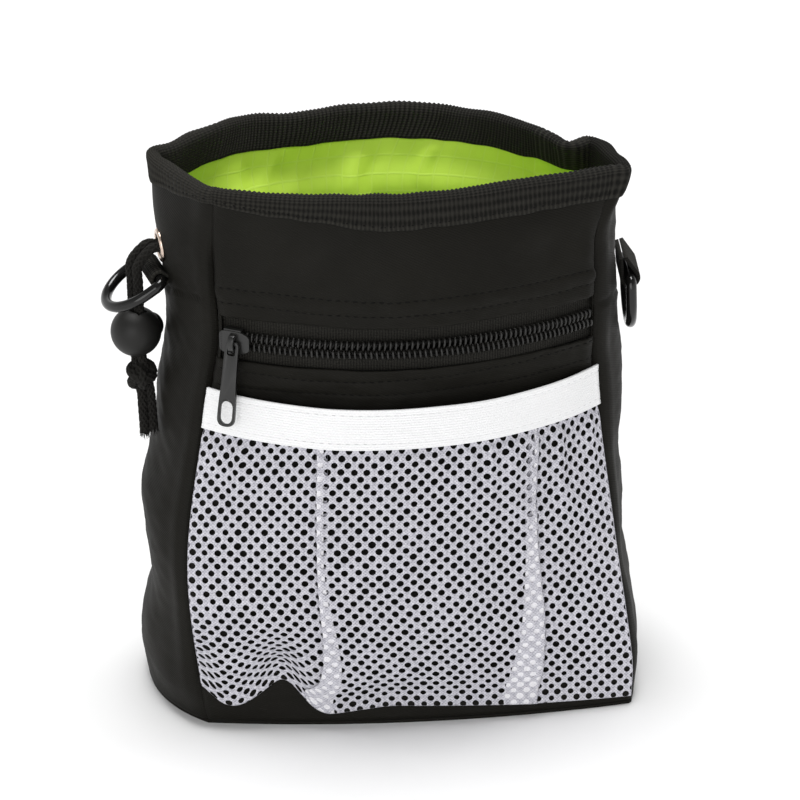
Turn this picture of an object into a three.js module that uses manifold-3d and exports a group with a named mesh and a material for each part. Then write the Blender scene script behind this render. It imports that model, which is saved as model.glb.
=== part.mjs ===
// Treat pouch: a drawstring bag with a zipped front pocket, a mesh pocket, two D-rings,
// a cord with a ball stop, and a belt clip. Millimetres, +Z up, the front faces -Y,
// origin on the base in line with the belt clip.
import * as THREE from 'three';
import { mergeVertices } from 'three/addons/utils/BufferGeometryUtils.js';
import Module from 'manifold-3d';

const wasm = await Module();
wasm.setup();

// ---------------------------------------------------------------- driving dimensions
const HEIGHT = 176;
const GAP = 0.3;                 // clearance between neighbouring pieces
const CLOTH = 0.9;               // thickness of the outer fabric
const SEAM_GAP = 0.5;            // how far each piece of cloth stops short of a corner seam
const SIDE_LENGTHS = [125, 56, 120, 62];

// The bag's outline at each height. A level has four corners (x, y), joined by arcs that bow
// outwards: front, right gusset, back, left gusset. slack is how far the mesh pocket's arc
// bows beyond the front panel's.
const LEVELS = [
  { z: 0, fl: [-64.5, -38], fr: [72.8, -45], br: [62, 34], bl: [-62, 35], bows: [5.5, 8, 6, 18], slack: 1.5 },
  { z: 15, fl: [-67, -40], fr: [73, -43], br: [65, 37], bl: [-65, 37], bows: [3, 10, 8.5, 17], slack: 3.5 },
  { z: 56, fl: [-69, -31], fr: [68, -32], br: [62, 35], bl: [-63, 35], bows: [11, 11, 11, 13], slack: 5.6 },
  { z: 105, fl: [-61, -23], fr: [62, -23], br: [58, 30], bl: [-59, 31], bows: [19, 13, 15.5, 14], slack: 4.6 },
  { z: 129, fl: [-57.5, -24], fr: [61.5, -24], br: [56, 27.5], bl: [-57, 30], bows: [18.5, 13, 17.3, 13], slack: 4.5 },
  { z: 147, fl: [-58, -22.5], fr: [61, -24.5], br: [55, 25.5], bl: [-57, 30.5], bows: [17.5, 13, 18, 14], slack: 4.2 },
  { z: 176, fl: [-58, -21], fr: [61, -20], br: [52, 22], bl: [-56, 34], bows: [14, 13, 23, 18], slack: 4.2 },
];
const FRONT = 0;
const RIGHT = 1;
const BACK = 2;
const LEFT = 3;

const BINDING_Z = [165, HEIGHT];
const SEAM_Z_LEFT = 136;         // where the upper and lower gusset are joined
const SEAM_Z_RIGHT = 129;
const LINING_INSET = 5.6;
const LINING_INSET_AT_RIM = 1.5;

const ZIP_Z = 129;
const ZIP_HALF_CHORD = 59.5;
const ZIP_BOW = 18.5;
const ZIP_MID = new THREE.Vector2(2, -24);
const ZIP_SLOT = 1.4;            // room for the slider's blade between the two coils
const COIL_HEIGHT = 2.3;
const SLIDER_START = -30.6;      // degrees round the zip's arc, 0 at its middle
const PULL_TILT = 14;            // degrees that the pull leans out at rest
const PULL_LENGTH = 27.5;

const BAND_Z = [99, 112];
const MESH_Z = [2.6, 98.6];

const CORD_R = 1.45;
const CORD_CHANNEL_Z = 147;
const EYELET = { y: 0, z: 150.5, hole: 3.6, outer: 5.25 };
const CORD_X = -80.5;            // the two strands hang side by side about this x
const STRAND_APART = 3.1;
const BALL = { centre: [-80.8, -1, 122.3], r: 8, turn: -50, boreR: 4.2 };
const BUTTON_TRAVEL = 2;
const KNOT = { centre: [-79.6, -2.5, 107.8], r: 5.1 };

const RING = { halfWidth: 11.7, depth: 17.8, wire: 1.7 };
const LEFT_BAR = { centre: [-74.3, 3, 141], axis: [0.18, -0.98, 0], droop: 31 };
const RIGHT_BAR = { centre: [75.8, -3, 135.6], axis: [0.12, 0.99, 0], droop: 87 };
const TAB_WIDTH = 17;
const TABS = { left: { length: 2.8, slope: 0 }, right: { length: 7, slope: 70 } };

const CLIP_WIDTH = 18;

// ---------------------------------------------------------------- the bag's outline
const CORNERS = ['fl', 'fr', 'br', 'bl'];

// A smooth value at height z through the values given at the levels.
function smooth(z, values) {
  const zs = LEVELS.map((level) => level.z);
  const last = zs.length - 1;
  const at = THREE.MathUtils.clamp(z, zs[0], zs[last]);
  let i = 0;
  while (i < last - 1 && at >= zs[i + 1]) i += 1;
  const slope = (k) => {
    const a = Math.max(k - 1, 0);
    const b = Math.min(k + 1, last);
    return (values[b] - values[a]) / (zs[b] - zs[a]);
  };
  const h = zs[i + 1] - zs[i];
  const t = (at - zs[i]) / h;
  const t2 = t * t;
  const t3 = t2 * t;
  return (2 * t3 - 3 * t2 + 1) * values[i] + (t3 - 2 * t2 + t) * h * slope(i)
    + (3 * t2 - 2 * t3) * values[i + 1] + (t3 - t2) * h * slope(i + 1);
}

// The point and the outward normal at share t of the arc from a to b that bows to its right.
function arcPoint(a, b, bow, t) {
  const half = a.distanceTo(b) / 2;
  const along = b.clone().sub(a).normalize();
  const out = new THREE.Vector2(along.y, -along.x);
  const r = (half * half + bow * bow) / (2 * bow);
  const angle = (2 * t - 1) * Math.asin(Math.min(1, half / r));
  const point = a.clone().add(b).multiplyScalar(0.5);
  point.addScaledVector(along, r * Math.sin(angle));
  point.addScaledVector(out, bow - r * (1 - Math.cos(angle)));
  const normal = along.clone().multiplyScalar(Math.sin(angle)).addScaledVector(out, Math.cos(angle));
  return { point, normal };
}

function sideArc(side, z, t, slack) {
  const corner = (key) => new THREE.Vector2(
    smooth(z, LEVELS.map((level) => level[key][0])),
    smooth(z, LEVELS.map((level) => level[key][1])),
  );
  const bow = smooth(z, LEVELS.map((level) => level.bows[side]))
    + (slack && side === FRONT ? smooth(z, LEVELS.map((level) => level.slack)) : 0);
  return arcPoint(corner(CORNERS[side]), corner(CORNERS[(side + 1) % 4]), bow, t);
}

const MITRE_SHARE = 0.1;         // the stretch beside a corner where offsets turn to its mitre

// The point on the outline at s (0 to 4, a whole number at each corner), offset outwards.
function outline(s, z, offset, slack = false) {
  const side = ((Math.floor(s) % 4) + 4) % 4;
  const t = s - Math.floor(s);
  const { point, normal } = sideArc(side, z, t, slack);
  const near = Math.min(t, 1 - t);
  if (near < MITRE_SHARE) {
    const other = t < 0.5 ? sideArc((side + 3) % 4, z, 1, slack) : sideArc((side + 1) % 4, z, 0, slack);
    const own = sideArc(side, z, t < 0.5 ? 0 : 1, slack);
    const mitre = own.normal.clone().add(other.normal).divideScalar(1 + own.normal.dot(other.normal));
    normal.lerp(mitre, 1 - near / MITRE_SHARE);
  }
  return point.addScaledVector(normal, offset);
}

// ---------------------------------------------------------------- solids
function geometryFrom(points, faces) {
  const geometry = new THREE.BufferGeometry();
  geometry.setAttribute('position', new THREE.Float32BufferAttribute(points.flat(), 3));
  geometry.setIndex(faces.flat());
  return geometry;
}

// A closed body swept from rings of points. With wrap the last ring joins the first, else both
// ends are capped by quads between the first half of the section, going up, and the rest, coming down.
function sweep(rings, section, wrap) {
  const n = section.length;
  const faces = [];
  const last = wrap ? rings.length : rings.length - 1;
  for (let i = 0; i < last; i += 1) {
    const here = i * n;
    const next = ((i + 1) % rings.length) * n;
    for (let k = 0; k < n; k += 1) {
      const m = (k + 1) % n;
      faces.push([here + k, next + k, next + m], [here + k, next + m, here + m]);
    }
  }
  if (!wrap) {
    const end = (rings.length - 1) * n;
    for (let k = 0; k < n / 2 - 1; k += 1) {
      const [a, b, c, d] = [k, k + 1, n - 2 - k, n - 1 - k];
      faces.push([a, b, c], [a, c, d], [end + c, end + b, end + a], [end + d, end + c, end + a]);
    }
  }
  return geometryFrom(rings.flat(), faces);
}

// A piece of cloth that follows the outline: section is a list of [offset, z].
function cloth(section, from, to, steps, { wrap = false, slack = false } = {}) {
  const rings = [];
  const count = wrap ? steps : steps + 1;
  for (let i = 0; i < count; i += 1) {
    const s = from + (to - from) * (i / steps);
    rings.push(section.map(([offset, z]) => {
      const p = outline(s, z, offset, slack);
      return [p.x, p.y, z];
    }));
  }
  return orient(sweep(rings, section, wrap));
}

// Heights at which every piece of cloth has a row of points, so that neighbouring layers match.
const ROWS = [8, 15, 28, 42, 56, 72, 88, 105, 120, 135, 147, 153, 160, 167];

// A wall between two offsets, from low to high. The offsets may be functions of z.
function wall(outer, inner, low, high) {
  const at = (offset, z) => (typeof offset === 'function' ? offset(z) : offset);
  const heights = [low, ...ROWS.filter((z) => z > low + 2 && z < high - 2), high];
  const up = heights.map((z) => [at(outer, z), z]);
  const down = heights.slice().reverse().map((z) => [at(inner, z), z]);
  return [...up, ...down];
}

function sideRange(side) {
  const margin = SEAM_GAP / SIDE_LENGTHS[side];
  return [side + margin, side + 1 - margin];
}

function sidePanel(side, low, high, steps) {
  const [from, to] = sideRange(side);
  return cloth(wall(0, -CLOTH, low, high), from, to, steps);
}

// Turns a body's faces outwards where they point in.
function orient(geometry) {
  const p = geometry.getAttribute('position');
  const index = geometry.getIndex();
  const [a, b, c] = [new THREE.Vector3(), new THREE.Vector3(), new THREE.Vector3()];
  let volume = 0;
  for (let i = 0; i < index.count; i += 3) {
    a.fromBufferAttribute(p, index.getX(i));
    b.fromBufferAttribute(p, index.getX(i + 1));
    c.fromBufferAttribute(p, index.getX(i + 2));
    volume += a.dot(b.cross(c));
  }
  if (volume < 0) {
    for (let i = 0; i < index.count; i += 3) {
      const keep = index.getX(i + 1);
      index.setX(i + 1, index.getX(i + 2));
      index.setX(i + 2, keep);
    }
  }
  return geometry;
}

function bare(geometry, matrix) {
  const copy = geometry.clone();
  copy.deleteAttribute('normal');
  copy.deleteAttribute('uv');
  if (matrix) copy.applyMatrix4(matrix);
  return mergeVertices(copy, 1e-4);
}

function solid(geometry, matrix) {
  const merged = bare(geometry, matrix);
  return new wasm.Manifold(new wasm.Mesh({
    numProp: 3,
    vertProperties: new Float32Array(merged.getAttribute('position').array),
    triVerts: new Uint32Array(merged.getIndex().array),
  }));
}

function fromSolid(body) {
  const mesh = body.getMesh();
  const geometry = new THREE.BufferGeometry();
  geometry.setAttribute('position', new THREE.BufferAttribute(new Float32Array(mesh.vertProperties), 3));
  geometry.setIndex(new THREE.BufferAttribute(new Uint32Array(mesh.triVerts), 1));
  return geometry;
}

const shift = (x, y, z) => new THREE.Matrix4().makeTranslation(x, y, z);

// A flat plate whose outline is given in X and Z, with its faces at y and y + thick.
function plateXZ(points, y, thick) {
  const shape = new THREE.Shape(points.map(([x, z]) => new THREE.Vector2(x, z)));
  const geometry = new THREE.ExtrudeGeometry(shape, { depth: thick, bevelEnabled: false });
  const basis = new THREE.Matrix4().makeBasis(
    new THREE.Vector3(1, 0, 0), new THREE.Vector3(0, 0, 1), new THREE.Vector3(0, 1, 0),
  );
  return orient(bare(geometry, basis.premultiply(shift(0, y, 0))));
}

// A strip with the side view given in Y and Z, running width wide across X.
function strip(points, width) {
  const shape = new THREE.Shape(points.map(([y, z]) => new THREE.Vector2(y, z)));
  const geometry = new THREE.ExtrudeGeometry(shape, { depth: width, bevelEnabled: false });
  const basis = new THREE.Matrix4().makeBasis(
    new THREE.Vector3(0, 1, 0), new THREE.Vector3(0, 0, 1), new THREE.Vector3(1, 0, 0),
  );
  return bare(geometry, basis.premultiply(shift(-width / 2, 0, 0)));
}

// A round tube along a smooth route.
function tube(points, radius, sides, steps, closed = false) {
  const curve = new THREE.CatmullRomCurve3(points.map((p) => new THREE.Vector3(...p)), closed, 'centripetal');
  const shape = new THREE.Shape(Array.from({ length: sides }, (_, i) => {
    const angle = (i / sides) * 2 * Math.PI;
    return new THREE.Vector2(radius * Math.cos(angle), radius * Math.sin(angle));
  }));
  return bare(new THREE.ExtrudeGeometry(shape, { steps, extrudePath: curve, bevelEnabled: false }));
}

// ---------------------------------------------------------------- finishes
const finish = (color, roughness, metalness = 0) => new THREE.MeshStandardMaterial({
  color, roughness, metalness,
});
const BLACK_NYLON = '#1d1b1a';
const NYLON = finish(BLACK_NYLON, 0.75);
const WEBBING = finish('#191817', 0.8);
const LIME = finish('#a6d52d', 0.6);
const WHITE_MESH = finish('#dcdbe6', 0.85);
const WHITE_TAPE = finish('#f2f2f4', 0.85);
const COIL = finish('#232120', 0.4);
const GLOSS_BLACK = finish('#141414', 0.25, 0.3);
const MATTE_PLASTIC = finish('#262626', 0.6);
const NICKEL = finish('#b9aa9c', 0.3, 1);
const STEEL = finish('#8f9296', 0.35, 1);
const CORD = finish('#1a1918', 0.9);

const pouch = new THREE.Group();

function add(name, geometry, material, parent = pouch) {
  const mesh = new THREE.Mesh(geometry, material.clone());
  mesh.name = name;
  parent.add(mesh);
  return mesh;
}

// ---------------------------------------------------------------- fabric
const liningOffset = (z) => {
  const rise = THREE.MathUtils.smoothstep(z, BINDING_Z[0] - 15, BINDING_Z[0] - 5);
  return -THREE.MathUtils.lerp(LINING_INSET, LINING_INSET_AT_RIM, rise);
};

function discOf(offset, low, thick, perSide) {
  const points = Array.from({ length: 4 * perSide }, (_, i) => outline(i / perSide, low, offset));
  const geometry = new THREE.ExtrudeGeometry(new THREE.Shape(points), { depth: thick, bevelEnabled: false });
  return bare(geometry, shift(0, 0, low));
}

function addPanels() {
  const hem = 1 + GAP;
  const top = HEIGHT - 2.1;
  const zipRoom = 4.4;
  add('base_panel', discOf(-0.2, 0, 1, 10), NYLON);
  add('front_panel_upper', sidePanel(FRONT, ZIP_Z + zipRoom, top, 14), NYLON);
  add('front_panel_lower', sidePanel(FRONT, hem, ZIP_Z - zipRoom, 14), NYLON);
  add('back_panel', sidePanel(BACK, hem, top, 10), NYLON);
  add('right_gusset_lower', sidePanel(RIGHT, hem, SEAM_Z_RIGHT - GAP / 2, 8), NYLON);
  add('right_gusset_upper', sidePanel(RIGHT, SEAM_Z_RIGHT + GAP / 2, top, 8), NYLON);
  add('left_gusset_lower', sidePanel(LEFT, hem, SEAM_Z_LEFT - GAP / 2, 8), NYLON);
  const upper = solid(sidePanel(LEFT, SEAM_Z_LEFT + GAP / 2, top, 8));
  const hole = solid(new THREE.CylinderGeometry(EYELET.hole + 0.5, EYELET.hole + 0.5, 12, 16), eyeletFrame());
  add('left_gusset_upper', fromSolid(upper.subtract(hole)), NYLON);
}

function addLining() {
  const low = 2.2;
  const thick = 0.8;
  const floorThick = 0.8;
  const section = wall(liningOffset, (z) => liningOffset(z) - thick, low + floorThick + GAP, HEIGHT - 2.1);
  add('lining_wall', cloth(section, 0, 4, 36, { wrap: true }), LIME);
  add('lining_floor', discOf(-LINING_INSET, low, floorThick, 10), LIME);
}

function addBinding() {
  const outer = 1.3;
  const inner = -LINING_INSET_AT_RIM - 0.8 - 2 * GAP;
  const tape = 0.9;
  const [low, high] = BINDING_Z;
  const section = [
    [outer, low], [outer, high - 0.7], [outer - 0.5, high], [inner - tape + 0.5, high],
    [inner - tape, high - 0.7], [inner - tape, low], [inner, low], [inner, high - 1.8],
    [0.4, high - 1.8], [0.4, low],
  ];
  add('mouth_binding', cloth(section, 0, 4, 40, { wrap: true }), WEBBING);
}

function addMeshPocket() {
  const [from, to] = sideRange(FRONT);
  const mesh = cloth(wall(1.8, 1, ...MESH_Z), from, to, 14, { slack: true });
  const band = cloth(wall(1.9, 1, ...BAND_Z), from, to, 14, { slack: true });
  add('mesh_pocket', mesh, WHITE_MESH);
  add('pocket_top_band', band, WHITE_TAPE);
}

function addZipPocketBacking() {
  const lining = wall(-4.4, -4.8, 45, 142);
  add('zip_pocket_backing', cloth(lining, FRONT + 0.03, FRONT + 0.97, 14), NYLON);
}

// ---------------------------------------------------------------- zip
const ZIP_R = (ZIP_HALF_CHORD ** 2 + ZIP_BOW ** 2) / (2 * ZIP_BOW);
const ZIP_CENTRE = [ZIP_MID.x, ZIP_MID.y - ZIP_BOW + ZIP_R];
const ZIP_END = THREE.MathUtils.radToDeg(Math.asin((ZIP_HALF_CHORD - 1.2) / ZIP_R));

// A strip of the zip: section is a list of [offset, z] swept round the zip's own arc.
function zipStrip(section, steps) {
  const rings = [];
  for (let i = 0; i <= steps; i += 1) {
    const angle = THREE.MathUtils.degToRad(ZIP_END * ((2 * i) / steps - 1));
    rings.push(section.map(([offset, z]) => [
      ZIP_CENTRE[0] + (ZIP_R + offset) * Math.sin(angle),
      ZIP_CENTRE[1] - (ZIP_R + offset) * Math.cos(angle),
      z,
    ]));
  }
  return orient(sweep(rings, section, false));
}

function addZip() {
  const edge = ZIP_SLOT / 2;
  const tapeWidth = 8;
  [['upper', 1], ['lower', -1]].forEach(([word, sign]) => {
    const z = (d) => ZIP_Z + sign * d;
    const tape = [[-2, z(edge)], [-2, z(tapeWidth)], [-2.6, z(tapeWidth)], [-2.6, z(edge)]];
    const coil = [
      [-1.6, z(edge)], [-1.6, z(edge + COIL_HEIGHT)], [0, z(edge + COIL_HEIGHT)],
      [0.6, z(edge + COIL_HEIGHT - 0.6)], [0.6, z(edge + 0.3)], [0.2, z(edge)],
    ];
    add(`zip_tape_${word}`, zipStrip(tape, 14), WEBBING);
    add(`zip_coil_${word}`, zipStrip(coil, 20), COIL);
  });
}

// A group that stands on the zip's arc at an angle: its -Y points outwards, its X along the zip.
function onZip(degrees) {
  const group = new THREE.Group();
  const angle = THREE.MathUtils.degToRad(degrees);
  group.position.set(
    ZIP_CENTRE[0] + ZIP_R * Math.sin(angle),
    ZIP_CENTRE[1] - ZIP_R * Math.cos(angle),
    ZIP_Z,
  );
  group.rotation.z = angle;
  pouch.add(group);
  return group;
}

// The slider's face plate, wide at the end that opens the coils.
function sliderPlate(y, thick, halfHeight) {
  return plateXZ([
    [-5, -halfHeight * 0.8], [-3.5, -halfHeight], [2.5, -halfHeight], [5, -halfHeight * 0.6],
    [5, halfHeight * 0.6], [2.5, halfHeight], [-3.5, halfHeight], [-5, halfHeight * 0.8],
  ], y, thick);
}

const PULL_PIN_OUT = 2.8;        // how far in front of the coil the pull's ring passes

function addSlider() {
  const group = onZip(SLIDER_START);
  const front = solid(sliderPlate(-1.8, 0.9, 3.9));
  const back = solid(sliderPlate(3, 0.7, 3.5));
  const blade = solid(new THREE.BoxGeometry(2.4, 5.2, 0.7), shift(3.2, 0.8, 0));
  const bridge = solid(strip([
    [-1.2, -3.2], [-3.6, -2.6], [-4.6, -1], [-4.6, 1], [-3.6, 2.6], [-1.2, 3.2],
    [-1.2, 2.2], [-3.1, 1.7], [-3.8, 0.6], [-3.8, -0.6], [-3.1, -1.7], [-1.2, -2.2],
  ], 1.8));
  const body = front.add(back).add(blade).add(bridge);
  add('zip_slider', fromSolid(body), GLOSS_BLACK, group);
}

// The flat pull hangs from a square ring round the slider's bridge.
function addPull() {
  const group = onZip(SLIDER_START);
  const hinge = new THREE.Group();
  hinge.position.set(0, -PULL_PIN_OUT, 0);
  hinge.rotation.x = -THREE.MathUtils.degToRad(PULL_TILT);
  group.add(hinge);
  const half = 2.85;
  const end = -PULL_LENGTH + 1.6;
  const outer = [
    [-2.1, 0.5], [-2.1, -3.8], [-2.4, -12], [-half, end + 6], [-half, end + 2.2], [-half + 1.6, end],
    [half - 1.6, end], [half, end + 2.2], [half, end + 6], [2.4, -12], [2.1, -3.8], [2.1, 0.5],
  ];
  const plate = solid(plateXZ(outer, -0.55, 1.1));
  const ringHole = solid(new THREE.BoxGeometry(2.6, 4, 3), shift(0, 0, -2));
  const slot = solid(plateXZ(stadium(2.05, 7.2), -3, 6), shift(0, 0, end + 4.4));
  add('zip_pull', fromSolid(plate.subtract(ringHole).subtract(slot)), GLOSS_BLACK, hinge);
}

// A long hole's outline, upright, with round ends.
function stadium(radius, length) {
  const points = [];
  const ends = 6;
  for (let i = 0; i <= ends; i += 1) {
    const angle = Math.PI * (i / ends);
    points.push([radius * Math.cos(angle), length / 2 - radius + radius * Math.sin(angle)]);
  }
  for (let i = 0; i <= ends; i += 1) {
    const angle = Math.PI * (1 + i / ends);
    points.push([radius * Math.cos(angle), -length / 2 + radius + radius * Math.sin(angle)]);
  }
  return points;
}

// ---------------------------------------------------------------- eyelet and cord
function eyeletPlace() {
  let best = 0.5;
  for (let t = 0.2; t < 0.9; t += 0.001) {
    const y = sideArc(LEFT, EYELET.z, t, false).point.y;
    if (Math.abs(y - EYELET.y) < Math.abs(sideArc(LEFT, EYELET.z, best, false).point.y - EYELET.y)) best = t;
  }
  return { s: LEFT + best, ...sideArc(LEFT, EYELET.z, best, false) };
}

// The eyelet's frame: its Y axis stands square to the gusset and points out of the bag.
function eyeletFrame() {
  const { s, point, normal } = eyeletPlace();
  const above = outline(s, EYELET.z + 3, 0);
  const below = outline(s, EYELET.z - 3, 0);
  const side = new THREE.Vector3(normal.x, normal.y, 0).cross(new THREE.Vector3(0, 0, 1));
  const up = new THREE.Vector3(above.x - below.x, above.y - below.y, 6);
  const out = new THREE.Vector3().crossVectors(up, side).normalize();
  up.crossVectors(side, out);
  const frame = new THREE.Matrix4().makeBasis(side, out, up);
  return frame.premultiply(shift(point.x, point.y, EYELET.z));
}

function lathe(profile, segments) {
  return bare(new THREE.LatheGeometry(profile.map(([x, y]) => new THREE.Vector2(x, y)), segments));
}

function addEyelet() {
  const group = new THREE.Group();
  group.applyMatrix4(eyeletFrame());
  pouch.add(group);
  const { hole, outer } = EYELET;
  const ring = [
    [hole, -2], [hole + 0.3, -2], [hole + 0.3, 0.35], [outer, 0.35], [outer, 0.8],
    [outer - 0.7, 1.3], [hole + 0.5, 1.2], [hole, 0.6], [hole, -2],
  ];
  const washer = [
    [hole + 0.45, -2], [outer, -2], [outer, -1.6], [hole + 0.45, -1.6], [hole + 0.45, -2],
  ];
  add('eyelet_ring', orient(lathe(ring, 20)), NICKEL, group);
  add('eyelet_washer', orient(lathe(washer, 20)), NICKEL, group);
}

// Points in the eyelet's frame: along the bag's side, out of it, and up.
function fromEyelet(points) {
  const frame = eyeletFrame();
  return points.map((p) => new THREE.Vector3(...p).applyMatrix4(frame).toArray());
}

function addDrawstring() {
  const { s } = eyeletPlace();
  const inset = -3.4;
  const lead = 0.14;
  const stations = 38;
  const around = [];
  for (let i = 0; i <= stations; i += 1) {
    const share = i / stations;
    const p = outline(s + lead + (4 - 2 * lead) * share, CORD_CHANNEL_Z, inset);
    around.push([p.x, p.y, CORD_CHANNEL_Z]);
  }
  const bend = [[1.6, -2.1, 0], [1.7, -3, 0], [2.6, -3.9, -0.4], [4.8, -4, -1.6]];
  const start = fromEyelet(bend.map(([side, out, up]) => [-side, out, up]));
  const end = fromEyelet(bend.slice().reverse());
  add('drawstring_loop', tube([...start, ...around, ...end], CORD_R, 8, 52), CORD);
}

// The free strands leave the eyelet, turn down and hang side by side to the knot.
function strandRoute(sign) {
  const turn = THREE.MathUtils.degToRad(BALL.turn);
  const apart = (sign * STRAND_APART) / 2;
  const x = CORD_X - apart * Math.cos(turn);
  const y = BALL.centre[1] - apart * Math.sin(turn);
  const reach = 3.6 + 1.4 * (sign + 1);
  return [
    ...fromEyelet([[sign * 1.65, -1.3, 0], [sign * 1.65, 1.8, 0.1], [sign * 1.2, reach, 1.3 * sign - 0.5]]),
    [x + 0.2, y + 0.3, 145 + 1.5 * sign],
    [x, y, 139],
    [x, y, 130],
    [x, y, 121],
    [x, y, 114.5],
    [x + 0.3, y - 0.3, KNOT.centre[2] + KNOT.r + 0.7],
  ];
}

function tailRoute(sign) {
  const [x, y, z] = KNOT.centre;
  const low = z - KNOT.r - 0.4;
  return [
    [x - sign * 1.55 + 1, y - 0.4, low],
    [x - sign * 1.6 + 1.2, y - 2, low - 5],
    [x - sign * 1.55 + 1.3, y - 4, low - 9],
    [x - sign * 1.6 + 1.4, y - 5.4, low - 12.5 - 0.6 * sign],
  ];
}

function addFreeCord() {
  [['a', 1], ['b', -1]].forEach(([word, sign]) => {
    add(`cord_strand_${word}`, tube(strandRoute(sign), CORD_R, 8, 22), CORD);
    add(`cord_tail_${word}`, tube(tailRoute(sign), CORD_R, 8, 5), CORD);
  });
  const knot = bare(new THREE.SphereGeometry(KNOT.r, 14, 10), shift(...KNOT.centre));
  add('cord_knot', knot, CORD);
}

// ---------------------------------------------------------------- ball stop
function stopGroup() {
  const group = new THREE.Group();
  group.position.set(...BALL.centre);
  group.rotation.z = THREE.MathUtils.degToRad(BALL.turn);
  pouch.add(group);
  return group;
}

const BORE_END = -5.6;           // blind end of the button's bore
const BUTTON_END = -3;           // the button's inner end at rest

function addBallStop() {
  const group = stopGroup();
  const ball = solid(new THREE.SphereGeometry(BALL.r, 20, 14));
  const bore = solid(
    new THREE.CylinderGeometry(BALL.boreR + 0.2, BALL.boreR + 0.2, 20, 24),
    shift(0, BORE_END + 10, 0),
  );
  const cordSlot = solid(new THREE.BoxGeometry(2 * STRAND_APART + 1, 2 * CORD_R + 0.9, 30));
  add('cord_stop_body', fromSolid(ball.subtract(bore).subtract(cordSlot)), MATTE_PLASTIC, group);
  const dome = lathe([
    [0, BUTTON_END], [BALL.boreR, BUTTON_END], [BALL.boreR, 7.1], [BALL.boreR - 0.7, 8.4],
    [BALL.boreR - 2.2, 9.2], [0, 9.6],
  ], 24);
  const gripSlot = solid(
    new THREE.BoxGeometry(2 * STRAND_APART + 0.6, 2 * CORD_R + 0.8 + BUTTON_TRAVEL + 0.8, 30),
    shift(0, BUTTON_TRAVEL / 2 + 0.4, 0),
  );
  add('cord_stop_button', fromSolid(solid(orient(dome)).subtract(gripSlot)), MATTE_PLASTIC, group);
  addStopSpring(group);
}

function addStopSpring(group) {
  const turns = 2.5;
  const radius = 2.8;
  const wire = 0.25;
  const low = BORE_END + wire + 0.15;
  const high = BUTTON_END - wire - 0.15;
  const points = Array.from({ length: 31 }, (_, i) => {
    const angle = (i / 30) * turns * 2 * Math.PI;
    return [radius * Math.cos(angle), low + (high - low) * (i / 30), radius * Math.sin(angle)];
  });
  add('cord_stop_spring', tube(points, wire, 5, 26), STEEL, group);
}

// ---------------------------------------------------------------- D-rings and their tabs
// A frame on a ring's bar: X along the bar, -Y towards the tip, Z out of the ring's plane.
function barFrame({ centre, axis, droop }, outward) {
  const along = new THREE.Vector3(...axis).normalize();
  const flat = new THREE.Vector3().crossVectors(along, new THREE.Vector3(0, 0, 1)).normalize();
  if (flat.x * outward < 0) flat.negate();
  const angle = THREE.MathUtils.degToRad(droop);
  const tip = flat.multiplyScalar(Math.cos(angle)).add(new THREE.Vector3(0, 0, -Math.sin(angle)));
  const down = tip.clone().negate();
  const across = new THREE.Vector3().crossVectors(along, down);
  return new THREE.Matrix4().makeBasis(along, down, across).premultiply(shift(...centre));
}

// A D-ring is a straight bar and a bow, of round wire, as one closed ring.
function dRing() {
  const { halfWidth, depth, wire } = RING;
  const straight = depth - halfWidth;
  const points = [];
  for (let i = 0; i <= 12; i += 1) {
    const angle = Math.PI * (i / 12);
    points.push([halfWidth * Math.cos(angle), -straight - halfWidth * Math.sin(angle), 0]);
  }
  points.push([-halfWidth, -straight / 2, 0], [-halfWidth, -2.4, 0], [-halfWidth + 0.7, -0.7, 0]);
  points.push([-halfWidth + 2.4, 0, 0]);
  points.push([-halfWidth / 2, 0, 0], [0, 0, 0], [halfWidth / 2, 0, 0]);
  points.push([halfWidth - 2.4, 0, 0], [halfWidth - 0.7, -0.7, 0], [halfWidth, -2.4, 0]);
  points.push([halfWidth, -straight / 2, 0]);
  const n = 8;
  const rings = points.map((p, i) => {
    const next = new THREE.Vector3(...points[(i + 1) % points.length]);
    const before = new THREE.Vector3(...points[(i + points.length - 1) % points.length]);
    const tangent = next.sub(before).normalize();
    const side = new THREE.Vector3().crossVectors(tangent, new THREE.Vector3(0, 0, 1));
    return Array.from({ length: n }, (_, k) => {
      const angle = (k / n) * 2 * Math.PI;
      const point = new THREE.Vector3(...p).addScaledVector(side, wire * Math.cos(angle));
      return [point.x, point.y, wire * Math.sin(angle)];
    });
  });
  return orient(sweep(rings, Array(n).fill([0, 0]), true));
}

// The webbing tab: two plies that leave the gusset together, part round the bar and come back.
function tab({ centre, axis }, outward, { length, slope }) {
  const inner = RING.wire + 0.25;
  const ply = 1.2;
  const arc = (radius, from, to) => Array.from({ length: 9 }, (_, i) => {
    const angle = THREE.MathUtils.degToRad(from + (to - from) * (i / 8));
    return [radius * Math.cos(angle), radius * Math.sin(angle)];
  });
  const section = [
    [-length, -ply - 0.1], ...arc(inner + ply, -100, 100), [-length, ply + 0.1],
    [-length, 0.1], ...arc(inner, 100, -100), [-length, -0.1],
  ];
  const up = new THREE.Vector3(0, 0, 1);
  const out = new THREE.Vector3(...axis).normalize().cross(up);
  if (out.x * outward < 0) out.negate();
  const angle = THREE.MathUtils.degToRad(slope);
  const towards = out.clone().multiplyScalar(Math.cos(angle)).addScaledVector(up, -Math.sin(angle));
  const over = out.clone().multiplyScalar(Math.sin(angle)).addScaledVector(up, Math.cos(angle));
  const along = new THREE.Vector3().crossVectors(towards, over);
  const shape = new THREE.Shape(section.map(([x, z]) => new THREE.Vector2(x, z)));
  const geometry = new THREE.ExtrudeGeometry(shape, { depth: TAB_WIDTH, bevelEnabled: false });
  const frame = new THREE.Matrix4().makeBasis(towards, over, along);
  return bare(geometry, shift(...centre).multiply(frame).multiply(shift(0, 0, -TAB_WIDTH / 2)));
}

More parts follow.
